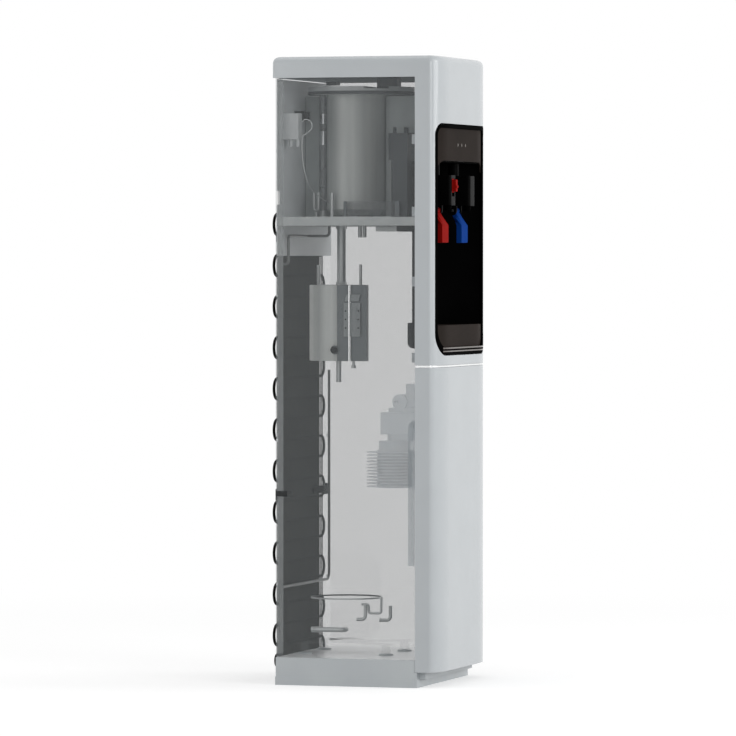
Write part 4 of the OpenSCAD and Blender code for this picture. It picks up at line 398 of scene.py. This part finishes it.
# The compressor's shells are drawn almost clear, so that its welded tubes and seam ring can be seen.
SHEER_ENAMEL = finish("see_through_compressor_enamel", "c3c7c8", "bcc0c1", 1.2, (0.3, 0.4), 0.00001, alpha=0.005)
# The same holds for its rubber feet, of which a faint matt shape stays.
RUBBER = finish("see_through_foot_rubber", "c9cdce", "c0c4c5", 1.2, (0.6, 0.75), alpha=0.06, gleam=0.2)
# The condenser is dipped in black enamel, which dries a little uneven. Its wires are drawn greyer than the coil,
# as painted light on the same enamel, so the coil's rows show as dark lines across them.
BLACK_ENAMEL = finish("black_condenser_enamel", "0c0c0b", "080807", 1.0, (0.38, 0.5), 0.00001, gleam=0.05)
WIRE_ENAMEL_LIGHTENED = finish("wire_enamel_lightened_painted_light", "3a3b37", "32332f", 1.0, (0.50, 0.60), 0.000002, gleam=0.05)
print("materials made:", len(bpy.data.materials))

# %% [markdown]
# ## From a form to a piece
# A mesh is only a shape. To be a piece of the cooler it needs smooth shading, a material, a place in the scene
# and a body that it moves with. One function does this for every piece, so none of these steps is forgotten.
# Faces are shaded smooth with creases where they meet at an angle, and the weighted normals then keep the
# large flat faces flat beside their small rounds.

# %% Settle a piece
CREASE = 32


def smooth_faces(form, sharp=CREASE):
    """Smooth faces, with a crease only where two faces meet at more than sharp degrees."""
    for face in form.faces:
        face.smooth = True
    for edge in form.edges:
        edge.smooth = len(edge.link_faces) == 2 and edge.calc_face_angle(0) < math.radians(sharp)


def settle(name, form, body, material, slot, *nodes):
    """Turns a finished form into a piece that rides on a body and stands for its solids."""
    smooth_faces(form)
    mesh = bpy.data.meshes.new(name)
    form.to_mesh(mesh)
    form.free()
    mesh.materials.append(material)
    piece = bpy.data.objects.new(name, mesh)
    scene.collection.objects.link(piece)
    even = piece.modifiers.new("even_shading", "WEIGHTED_NORMAL")
    even.keep_sharp = True
    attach(piece, body)
    if nodes:
        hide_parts(*nodes)
    print(name, len(mesh.polygons), "faces on", body)
    return piece


print("pieces are shaded with creases over", CREASE, "degrees")

# %% [markdown]
# ## Edges that catch the light
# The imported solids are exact, but their meshes are loose triangles with razor edges. A moulded or folded edge
# always shows a thin highlight, because it has a small round. A Bevel modifier could round them all, but it
# works on loose triangles as if each were a piece. So a copy is merged first, flat areas are joined, and every
# real edge is bevelled by a width that fits the piece. The solid itself is left alone. The copy rides on the
# same body and stands for it. A width of 0 keeps thin or finely shaped pieces as they are.

# %% A softened copy of a solid
MERGE, FLAT = 0.00001, 0.05


def rounded(form, width, segments=2, sharp=CREASE):
    """Rounds every edge sharper than sharp degrees by width mm."""
    edges = [e for e in form.edges if len(e.link_faces) == 2 and e.calc_face_angle(0) > math.radians(sharp)]
    bmesh.ops.bevel(form, geom=edges, offset=width / 1000, offset_type="OFFSET", segments=segments, profile=0.5,
                    affect="EDGES", clamp_overlap=True, material=-1)
    return form


def softened(node, material, slot, width=0.0):
    """A merged copy of a solid with a small round of width mm on its edges."""
    form = bmesh.new()
    form.from_mesh(frame["nodes"][node].data)
    bmesh.ops.remove_doubles(form, verts=form.verts, dist=MERGE)
    bmesh.ops.dissolve_limit(form, angle_limit=math.radians(FLAT), verts=form.verts, edges=form.edges)
    if width:
        rounded(form, width)
    return settle(node + "_piece", form, frame["nodes"][node]["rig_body"], material, slot, node)


print("points closer than", MERGE * 1000, "mm are merged")

# %% [markdown]
# ## Bars, turned parts and drawn profiles
# Some pieces are easier to make the way the factory makes them. A bar is a block between two corners. A can
# or a lid is half of its section turned about an upright axis. A moulded lever is a side profile pushed to
# its width. All three take real millimetres, measured from the cabinet's own origin: x runs from the left side
# to the right, y from the front to the rear, and z up from the floor.

# %% Bars, turned parts and profiles
def bar(form, low, high):
    """Adds a block between two corners in mm."""
    low, high = Vector(low) / 1000, Vector(high) / 1000
    bmesh.ops.create_cube(form, size=1.0, matrix=Matrix.LocRotScale((low + high) / 2, None, high - low))
    return form


def turned(section, centre, closed=False, steps=96):
    """Spins a section of (radius, height) points in mm about the upright axis through a centre."""
    form = bmesh.new()
    points = [form.verts.new(Vector((radius, 0, height)) / 1000) for radius, height in section]
    pairs = list(zip(points, points[1:])) + ([(points[-1], points[0])] if closed else [])
    edges = [form.edges.new(pair) for pair in pairs]
    bmesh.ops.spin(form, geom=points + edges, cent=(0, 0, 0), axis=(0, 0, 1), angle=math.tau, steps=steps,
                   use_merge=True)
    bmesh.ops.remove_doubles(form, verts=form.verts, dist=0.000001)
    bmesh.ops.recalc_face_normals(form, faces=form.faces)
    bmesh.ops.translate(form, vec=Vector((centre[0], centre[1], 0)) / 1000, verts=form.verts)
    return form


def pushed(outline, x_low, x_high):
    """Pushes a side outline of (y, z) points in mm from one x to another."""
    form = bmesh.new()
    face = form.faces.new([form.verts.new(Vector((x_low, y, z)) / 1000) for y, z in outline])
    grown = bmesh.ops.extrude_face_region(form, geom=[face])
    moved = [v for v in grown["geom"] if isinstance(v, bmesh.types.BMVert)]
    bmesh.ops.translate(form, vec=((x_high - x_low) / 1000, 0, 0), verts=moved)
    bmesh.ops.recalc_face_normals(form, faces=form.faces)
    return form


print("three ways to make a piece are ready")

# %% [markdown]
# ## The cabinet
# The base is a pressed steel tray turned upside down, with a stepped kick plate in front. The two sides are
# folded sheets that stand on it, and a flat sheet closes the upper part of the back. The cover with its bowed
# front is one plastic moulding, and the lower front is a second one, with a bright strip in the seam between
# them. Their shapes are right in the solids, so each is a softened copy with its own finish. The rounds are
# 0.8 mm on the base and the moulded front and 0.4 mm or less on flat sheet, because a cut edge of thin steel is
# sharper than a moulded one.
# The two sides are see-through, so that the inside can be seen. Glass would bend the view and darken the
# inside. A plain sheet that is mostly transparent only tints what lies behind it. It casts no shadow and shows
# in no reflection, so the light inside stays as it is without it.

# %% Base, sides and rear
softened("base_tray", POWDER_COAT, "painted_steel", 0.8)
for side in ("left_side_panel", "right_side_panel"):
    sheet = softened(side, SMOKED_SHEET, "smoked_panel", 0.4)
    sheet.visible_shadow = sheet.visible_glossy = False
# The rear sheet's lighter inside coat is painted light.
softened("rear_panel", PAINTED_LIGHT_INNER_COAT, "painted_steel", 0.3)

# %% [markdown]
# The cover and the lower front follow, with the strip between them, the zinc-coated shelf that carries the
# cold tank, and the screws. The shelf is a folded pan, whose zinc shows as a duller grey than the paint. The
# cover's solid already has its large rounds, so it gets none here.

# %% Cover, lower front, shelf and screws
softened("upper_shell", GLOSS_ABS, "front_plastic")
softened("lower_front_panel", GLOSS_ABS, "front_plastic", 0.8)
softened("seam_strip", PALE_TRIM, "trim_plastic", 0.2)
softened("shelf", ZINC, "galvanised_steel", 0.4)
softened("cabinet_screws", BRIGHT_STEEL, "bright_steel")

# %% [markdown]
# The see-through side has a rear edge that is folded back on itself for stiffness. It shows as a paler
# upright band in front of the condenser. The fold could be cut into the side's own solid, but it is less than
# half a millimetre thick, and as a bar of its own it takes the denser finish of two sheets.

# %% The folded rear edge of the left side
FOLD_LOW, FOLD_TOP = (-147.2, 125.0, 52), (-146.8, 134.8, 1000)
fold = rounded(bar(bmesh.new(), FOLD_LOW, FOLD_TOP), 0.1, 1)
settle("left_rear_fold", fold, "cabinet", FLANGE_COAT, "smoked_panel").visible_shadow = False

# %% [markdown]
# The base's top is the floor of the cabinet. It is glossier than the base's powder-coated outside and drawn
# whiter as painted light, so one finish can't serve for both. A second material on some faces would do, but a
# thin sheet laid on top also gives the floor its own edge. It is a third of a millimetre thick and stays between
# the sides.

# %% The base's inner floor
FLOOR_SHEET_LOW, FLOOR_SHEET_TOP = (-147, -102, 45.55), (147, 134, 45.9)
enamel = rounded(bar(bmesh.new(), FLOOR_SHEET_LOW, FLOOR_SHEET_TOP), 0.1, 1)
settle("base_floor_lightened_sheet", enamel, "cabinet", FLOOR_LIGHTENED_COAT, "painted_steel")

# %% [markdown]
# ## The alcove
# A black frame with rounded corners is set in the bowed front, and behind it a half-round liner makes room for
# a cup. The control panel above has three small indicator lenses in front of its circuit board. All are
# mouldings that follow the bow, which the solids already do, so they are softened copies. Rebuilding the bow
# in a second place would risk gaps between parts that have to seat on each other.

# %% Frame, liner and control panel
softened("alcove_bezel", BLACK_SATIN, "black_plastic", 0.8)
softened("alcove_liner", BLACK_SATIN, "black_plastic")
softened("control_fascia", SMOKED_ABS, "smoked_fascia", 0.5)
softened("indicator_lenses", LENS, "lens_plastic", 0.3)
softened("control_board", BOARD, "board", 0.2)

# %% [markdown]
# ## Taps, levers and tray
# Each tap is a black housing with a nozzle below it and a lever that hangs on a steel pin. Pressing a cup
# against the lever opens the tap. The hot one also has a red lock that has to be pushed down first. The tray
# below catches drips and its grille lifts off. Each moving part is a body of its own in the frame, so its
# copy rides on that body by itself, and the rounds of 0.8 mm are those of a moulding that hands touch.

# %% The taps, the lock and the tray
softened("hot_tap_housing", BLACK_GLOSS, "black_plastic", 0.8)
softened("cold_tap_housing", BLACK_GLOSS, "black_plastic", 0.8)
softened("tap_nozzles", BLACK_SATIN, "black_plastic", 0.3)
softened("paddle_pins", BRIGHT_STEEL, "bright_steel", 0.2)
softened("hot_paddle", RED_ABS, "red_plastic", 0.8)
softened("cold_paddle", BLUE_ABS, "blue_plastic", 0.8)
softened("safety_lock", RED_ABS, "red_plastic", 0.8)
softened("drip_tray", SMOKED_ABS, "smoked_fascia", 0.6)
softened("drip_grille", SMOKED_ABS, "smoked_fascia", 0.3)

# %% [markdown]
# ## Lying on a bowed surface
# The frame of the alcove ends in a rolled lip under the tray, and the control panel has a rounded web in each
# lower corner. Both follow the bowed front. The bow could be guessed as an arc, but a small error buries a
# thin lip in the frame. So a search tree over the real solid is asked where a ray from the front meets it, and
# each point of a small grid is laid on that place.

# %% Ask a solid where its front is
RAY_START, RAY_MISSED = -1.0, -130.0


def surface(node):
    """A search tree over a solid's faces, which can be asked where a ray meets them."""
    form = bmesh.new()
    form.from_mesh(frame["nodes"][node].data)
    form.transform(frame["nodes"][node].matrix_world)
    found = BVHTree.FromBMesh(form)
    form.free()
    return found


def front_of(solid, x, z):
    """The y in mm where a ray sent in from the front at x and z meets a surface."""
    spot = solid.ray_cast(Vector((x / 1000, RAY_START, z / 1000)), Vector((0, 1, 0)))[0]
    return spot.y * 1000 if spot else RAY_MISSED


bezel_face, fascia_face = surface("alcove_bezel"), surface("control_fascia")
print("the frame's front at its middle is at y", round(front_of(bezel_face, 0, 558.6), 2), "mm")

# %% [markdown]
# The lip's two bright lines are painted highlights: a half-round bead of lighter, glossier brown along the
# frame, with a second, thinner one below. A grid is bent round the bead's section and laid along the frame, and
# a Solidify modifier gives it its wall.

# %% The rolled lips' painted highlights
LIP_HALF, LIP_PROUD, LIP_WALL = 118, 0.5, 0.0004
for name, lip_z, lip_r in (("rolled_lip_highlight", 558.6, 1.0), ("lower_lip_highlight", 553.4, 0.8)):
    form = bmesh.new()
    bmesh.ops.create_grid(form, x_segments=48, y_segments=6, size=1.0)
    for point in form.verts:
        x, around = point.co.x * LIP_HALF, point.co.y * math.pi / 2
        y = front_of(bezel_face, x, lip_z) - LIP_PROUD * math.cos(around)
        point.co = Vector((x, y, lip_z + lip_r * math.sin(around))) / 1000
    bmesh.ops.recalc_face_normals(form, faces=form.faces)
    lip = settle(name, form, "cabinet", LIP_HIGHLIGHT_ABS, "smoked_fascia")
    wall = lip.modifiers.new("wall", "SOLIDIFY")
    wall.thickness, wall.offset = LIP_WALL, 1.0

# %% [markdown]
# A web fills each lower corner of the control panel with a quarter of an ellipse, which stiffens the moulding
# and leads the eye round the alcove. The grid's lower row is drawn down along that curve, its upper row stays
# level, and the side towards the middle runs out to nothing, so its doubled points are merged.

# %% The panel's corner webs
WEB_WIDTH, WEB_DROP, WEB_TOP, WEB_OUTER, WEB_WALL = 38, 18, 868.6, 130.5, 0.002
FASCIA_AT, WEB_BEHIND = 872, 0.1
for sign in (-1, 1):
    form = bmesh.new()
    bmesh.ops.create_grid(form, x_segments=14, y_segments=2, size=1.0)
    for point in form.verts:
        along, up = (point.co.x + 1) / 2, (point.co.y + 1) / 2
        drop = WEB_DROP * (1 - math.sqrt(max(0.0, 1 - (1 - along) ** 2)))
        x = sign * (WEB_OUTER - WEB_WIDTH * along)
        point.co = Vector((x, front_of(fascia_face, x, FASCIA_AT) + WEB_BEHIND, WEB_TOP - drop * (1 - up))) / 1000
    bmesh.ops.remove_doubles(form, verts=form.verts, dist=0.000001)
    bmesh.ops.recalc_face_normals(form, faces=form.faces)
    web = settle("corner_web_" + ("left" if sign < 0 else "right"), form, "cabinet", SMOKED_ABS, "smoked_fascia")
    wall = web.modifiers.new("wall", "SOLIDIFY")
    wall.thickness, wall.offset = WEB_WALL, -1.0

# %% [markdown]
# The joint over the control panel is open by a hair, and the bright inside would show through it as a white
# line. A panel like this has a rib behind that edge, which stops the light. A black strip in the same place
# does its work.

# %% The strip behind the panel's upper edge
RIB_LOW, RIB_TOP = (-132, -130.8, 914), (132, -129.6, 930)
rib = rounded(bar(bmesh.new(), RIB_LOW, RIB_TOP), 0.3, 1)
settle("panel_backing", rib, "cabinet", BLACK_SATIN, "black_plastic")

# %% [markdown]
# Each lever has a broad push plate, as wide above the knee as below it, which a cup's rim presses. A thickened
# flat sheet would have the same wall all over but no clean knee. So it is one side profile pushed to the
# lever's full width, and it stops just short of the tap's housing.

# %% The levers' push plates
PLATE = [(-118.1, 776.0), (-128.0, 762.0), (-128.0, 733.0), (-125.4, 733.0), (-125.4, 761.2), (-115.6, 776.0)]
PLATE_HALF = 17.9
for body, middle, dye, slot in (("hot_paddle", -56.5, RED_ABS, "red_plastic"),
                                ("cold_paddle", 56.5, BLUE_ABS, "blue_plastic")):
    plate = rounded(pushed(PLATE, middle - PLATE_HALF, middle + PLATE_HALF), 0.5)
    settle(body + "_plate", plate, body, dye, slot)

# %% [markdown]
# ## The cold side
# A closed box behind the taps holds their valves, and behind it stands the cold tank, a drawn stainless pot
# with a rolled rim. Its wall could be turned again from a section, but the solid already has its real rim and
# outlets, so it is a copy. The broad light and dark upright bands on it are painted reflection in its finish.

# %% Valve box and tank
softened("valve_housing", DARK_ABS, "dark_plastic", 0.6)
softened("cold_tank", TANK_STEEL_PAINTED_BANDS, "stainless_steel")

# %% [markdown]
# The camera looks at the lid edge-on, so its height shows as the width of the bright gap above it. In the
# photograph the lid's top is 3.8 mm lower than the solid's. Scaling the lid would also thin its rim, so only
# the points of its top are moved down.

# %% The tank's lid
LID_TOP_OVER, LID_LOWERED = 0.9900, 0.0038
lid = softened("cold_tank_lid", WHITE_ABS, "grey_plastic", 0.5)
for point in lid.data.vertices:
    if point.co.z > LID_TOP_OVER:
        point.co.z -= LID_LOWERED

# %% [markdown]
# On the lid sits the water valve, whose stem reaches into the tank. There a ball on an arm floats up and shuts
# it. Round the tank's far side lies half of a foam jacket. The near half is left off, as in the photograph, so
# that the steel can be seen. The foam's edges get a round of a full millimetre, because cut foam can't hold a
# sharp one.

# %% Fittings, float and foam
softened("inlet_fittings", DARK_ABS, "dark_plastic", 0.3)
softened("float_arm", BRIGHT_STEEL, "bright_steel")
softened("float_ball", WHITE_ABS, "white_plastic")
softened("insulation_half", FOAM, "foam", 1.0)

# %% [markdown]
# The tank stands on a flat strap, and a clear guard between two dark posts keeps fingers off it. The solid
# has these as one simple cradle. In the photograph the guard is see-through and the posts aren't, so it takes
# two pieces with two finishes. Both are bars between their real corners.

# %% The tank's cradle and guard
CRADLE = (((-57, 43.7, 776), (-54, 49.1, 802)),
          ((-57, -48.3, 776), (-54, -40.3, 802)),
          ((-55.6, 24.3, 776), (30, 48.3, 778.2)))
cradle = bmesh.new()
for low, top in CRADLE:
    bar(cradle, low, top)
settle("tank_cradle_piece", rounded(cradle, 0.4), "cabinet", DARK_STEEL, "dark_steel", "tank_cradle")
guard = rounded(bar(bmesh.new(), (-56, -40.3, 777), (-55, 43.7, 801.6)), 0.3, 1)
settle("tank_guard_sheet", guard, "cabinet", SMOKED_SHEET, "smoked_panel")

# %% [markdown]
# A clear vent tube stands behind the tank and lets air in and out as the level moves. Two bright sleeves hold
# it. Each sleeve is a thin-walled ring, so it is a small closed section turned once about the tube's axis. A
# plain cylinder would have no wall and no inside.

# %% The vent tube and its sleeves
VENT_AXIS, SLEEVE_INNER, SLEEVE_OUTER = (0, 102.6), 5.7, 6.4
softened("vent_tube", CLEAR_TUBE, "clear_tube")
for number, (low, top) in enumerate(((932, 949), (897, 920)), start=1):
    ring = [(SLEEVE_INNER, low), (SLEEVE_OUTER, low), (SLEEVE_OUTER, top), (SLEEVE_INNER, top)]
    settle(f"vent_clamp_{number}", turned(ring, VENT_AXIS, closed=True, steps=32), "cabinet", BRIGHT_STEEL,
           "bright_steel")

# %% [markdown]
# Small tubes stand beside the tank, and its two outlets go down through the shelf. A thermostat in a small box
# on the rear wall feels the tank's heat through a thin capillary tube. The evaporator is a copper coil inside
# the tank, where the refrigerant takes up heat. Tubes keep their solid's shape with no round added, because
# they have no edges.

# %% Tubes, thermostat and evaporator
softened("cold_tank_tubes", TUBE_STEEL, "tube_steel")
softened("thermostat_box", WHITE_ABS, "grey_plastic", 0.6)
softened("capillary_tube", TUBE_STEEL, "tube_steel")
softened("evaporator_coil", COPPER, "copper")

# %% [markdown]
# A soft gasket runs round the lid's rim. It could be a torus, but its section is flat on the inner side, where
# it lies against the lid. So it too is a small closed section turned once, about the lid's axis.

# %% The lid's gasket
LID_AXIS = (0, 34.7)
gasket = turned([(89.2, 979.6), (90.3, 979.9), (90.5, 984.9), (89.2, 985.3)], LID_AXIS, closed=True)
settle("lid_gasket", gasket, "cabinet", DARK_ABS, "dark_plastic")

# %% [markdown]
# ## The hot side
# The hot tank is a short can with nearly square rims, in which an element heats the water for the red tap. A
# spun section gives its wall, its two small rim steps and its flat ends in one go, with even strips of faces
# that shade without a flaw. A bevelled copy of the solid's triangles would show facets at this size.

# %% The hot tank
HOT_AXIS = (0, 76.4)
CAN = [(0, 535.4), (46.8, 535.4), (47.6, 535.8), (48, 536.8), (48, 661.0), (47.6, 662.0), (46.8, 662.4), (0, 662.4)]
# The can's wall carries the same painted reflection bands as the cold tank.
settle("hot_tank_piece", turned(CAN, HOT_AXIS), "cabinet", TANK_STEEL_PAINTED_BANDS, "stainless_steel", "hot_tank")

# %% [markdown]
# A bent plate on the can's side carries two thermostats that cut the element out if the tank boils dry. The
# plate has a slot, in which a bright line shows. The line is a painted highlight, a thin white mirror bar of its
# own, because a bright finish on the whole plate would hide the line.

# %% The plate, its painted highlight and the thermostats
HIGHLIGHT_BAR_LOW, HIGHLIGHT_BAR_TOP = (-56.0, 38.9, 535.6), (-50.4, 40.7, 662.2)
edge = rounded(bar(bmesh.new(), HIGHLIGHT_BAR_LOW, HIGHLIGHT_BAR_TOP), 0.2, 1)
settle("slot_highlight_bar", edge, "cabinet", WHITE_MIRROR_HIGHLIGHT, "trim_plastic")
softened("hot_tank_plate", DARK_STEEL, "dark_steel", 0.3)
softened("hot_thermostats", GREY_ABS, "grey_plastic", 0.3)

# %% [markdown]
# Six dark terminal studs stand on the two thermostats, three above each other on each side of the slot. They
# are only half a millimetre proud, so a flat round disc each is enough. One cylinder is made six times in one
# form, which keeps them one piece.

# %% The thermostats' terminals
STUD_R, STUD_DEEP, STUD_X = 0.0013, 0.0005, -55.75
form = bmesh.new()
for depth in (45.9, 23.5):
    for height in (590.8, 605.0, 619.1):
        spot = Matrix.Translation(Vector((STUD_X, depth, height)) / 1000) @ Matrix.Rotation(math.pi / 2, 4, "Y")
        bmesh.ops.create_cone(form, cap_ends=True, segments=16, radius1=STUD_R, radius2=STUD_R, depth=STUD_DEEP,
                              matrix=spot)
settle("thermostat_terminals", form, "cabinet", BLACK_SATIN, "black_plastic")

# %% [markdown]
# A small black button on the plate resets the cut-out. The feed pipe brings water down from the shelf, two
# short tubes stand on the can and a drain hangs below it. The element inside is one steel rod bent to a
# hairpin. Their solids are round already, so they only get their metals.

# %% Button, pipes and element
softened("reset_button", BLACK_SATIN, "black_plastic", 0.3)
softened("hot_feed_pipe", TUBE_STEEL, "tube_steel")
softened("hot_tank_tubes", TUBE_STEEL, "tube_steel")
softened("heating_element", STAINLESS, "stainless_steel")

# %% [markdown]
# ## Refrigeration
# The compressor is two deep-drawn steel shells welded at a seam, on a cross plate with four rubber feet. The
# photograph draws the shells almost clear and shows the seam ring and the welded tubes. They could be left out
# of the picture, but then the ring and the tubes would hang in the air for a learner who looks for the
# compressor. With a trace of their body left, the shells can just be made out from other sides.
# The condenser at the rear is one long tube folded into 23 rows, which gives off the heat to the room.

# %% Compressor and condenser tube
softened("compressor_shell", SHEER_ENAMEL, "compressor_paint")
softened("compressor_cap", SHEER_ENAMEL, "compressor_paint")
softened("compressor_ring", TUBE_STEEL, "tube_steel")
softened("compressor_tubes", TUBE_STEEL, "tube_steel")
softened("compressor_feet", RUBBER, "rubber_feet")
softened("condenser_coil", BLACK_ENAMEL, "black_paint")

# %% [markdown]
# The condenser's upright wires are spot-welded on both sides of the coil, and the rear row stands in the gaps
# of the front row. An array modifier could repeat one wire, but each row has its own count and start. Each
# wire is a drawn rod, so one thin cylinder is made again and again at its own place. Eight sides are enough
# for a wire of 1.6 mm.

# %% The condenser's wires
WIRES, GAP, WIRE_R, WIRE_LOW, WIRE_TOP = 37, 6.63, 0.8, 43.8, 784.0
FRONT_ROW, REAR_ROW = 141.7, 148.15
form = bmesh.new()
for row, depth in ((0, FRONT_ROW), (1, REAR_ROW)):
    for i in range(row, WIRES - row):
        spot = Vector(((i + row / 2 - (WIRES - 1) / 2) * GAP, depth, (WIRE_LOW + WIRE_TOP) / 2)) / 1000
        bmesh.ops.create_cone(form, cap_ends=True, segments=8, radius1=WIRE_R / 1000, radius2=WIRE_R / 1000,
                              depth=(WIRE_TOP - WIRE_LOW) / 1000, matrix=Matrix.Translation(spot))
settle("condenser_wires_piece", form, "cabinet", WIRE_ENAMEL_LIGHTENED, "black_paint", "condenser_wires")

# %% [markdown]
# Straps on the rear flanges hold the condenser off the cabinet. The lower left one reaches round the folded
# edge, and that arm shows through the side. It is a bar of 0.2 mm laid over the solid strap. One refrigerant
# line runs from the tank's shelf to the condenser, and the other comes down the flanges.

# %% Clips and refrigerant lines
ARM_LOW, ARM_TOP = (-147.45, 118.5, 312.5), (-147.25, 137.0, 321.5)
softened("condenser_clips", BLACK_SATIN, "black_plastic", 0.2)
arm = rounded(bar(bmesh.new(), ARM_LOW, ARM_TOP), 0.08, 1)
settle("clip_arm", arm, "cabinet", BLACK_SATIN, "black_plastic")
softened("refrigerant_line", LINE_STEEL, "tube_steel")

# %% [markdown]
# ## Filter and rear services
# The filter is a cup with a stack of thin rings that twists off its head behind the front. Its milky plastic
# lets the white ground shine through, so the rings show as fine lines. The rear has the water inlet, the power
# inlet and one rocker switch each for heating and cooling. The moving ones ride on their own bodies, as the
# levers do.

# %% Filter, switches and inlets
softened("filter_head", FILTER_PP, "filter_plastic", 0.5)
softened("filter_cartridge", FILTER_PP, "filter_plastic")
softened("filter_tube", FILTER_PP, "filter_plastic")
softened("water_inlet", WHITE_ABS, "white_plastic", 0.3)
softened("hot_switch", RED_ABS, "red_plastic", 0.3)
softened("cold_switch", GREEN_ABS, "green_plastic", 0.3)
softened("switch_frame", BLACK_SATIN, "black_plastic", 0.3)
softened("power_inlet", BLACK_SATIN, "black_plastic", 0.3)

# %% [markdown]
# ## The dressed model's box
# The dressed model must not grow past the solids it stands for, so its box is printed.

# %% Write the sizes and finish
low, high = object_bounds()
print("visual box", [round(v, 4) for v in low], [round(v, 4) for v in high])
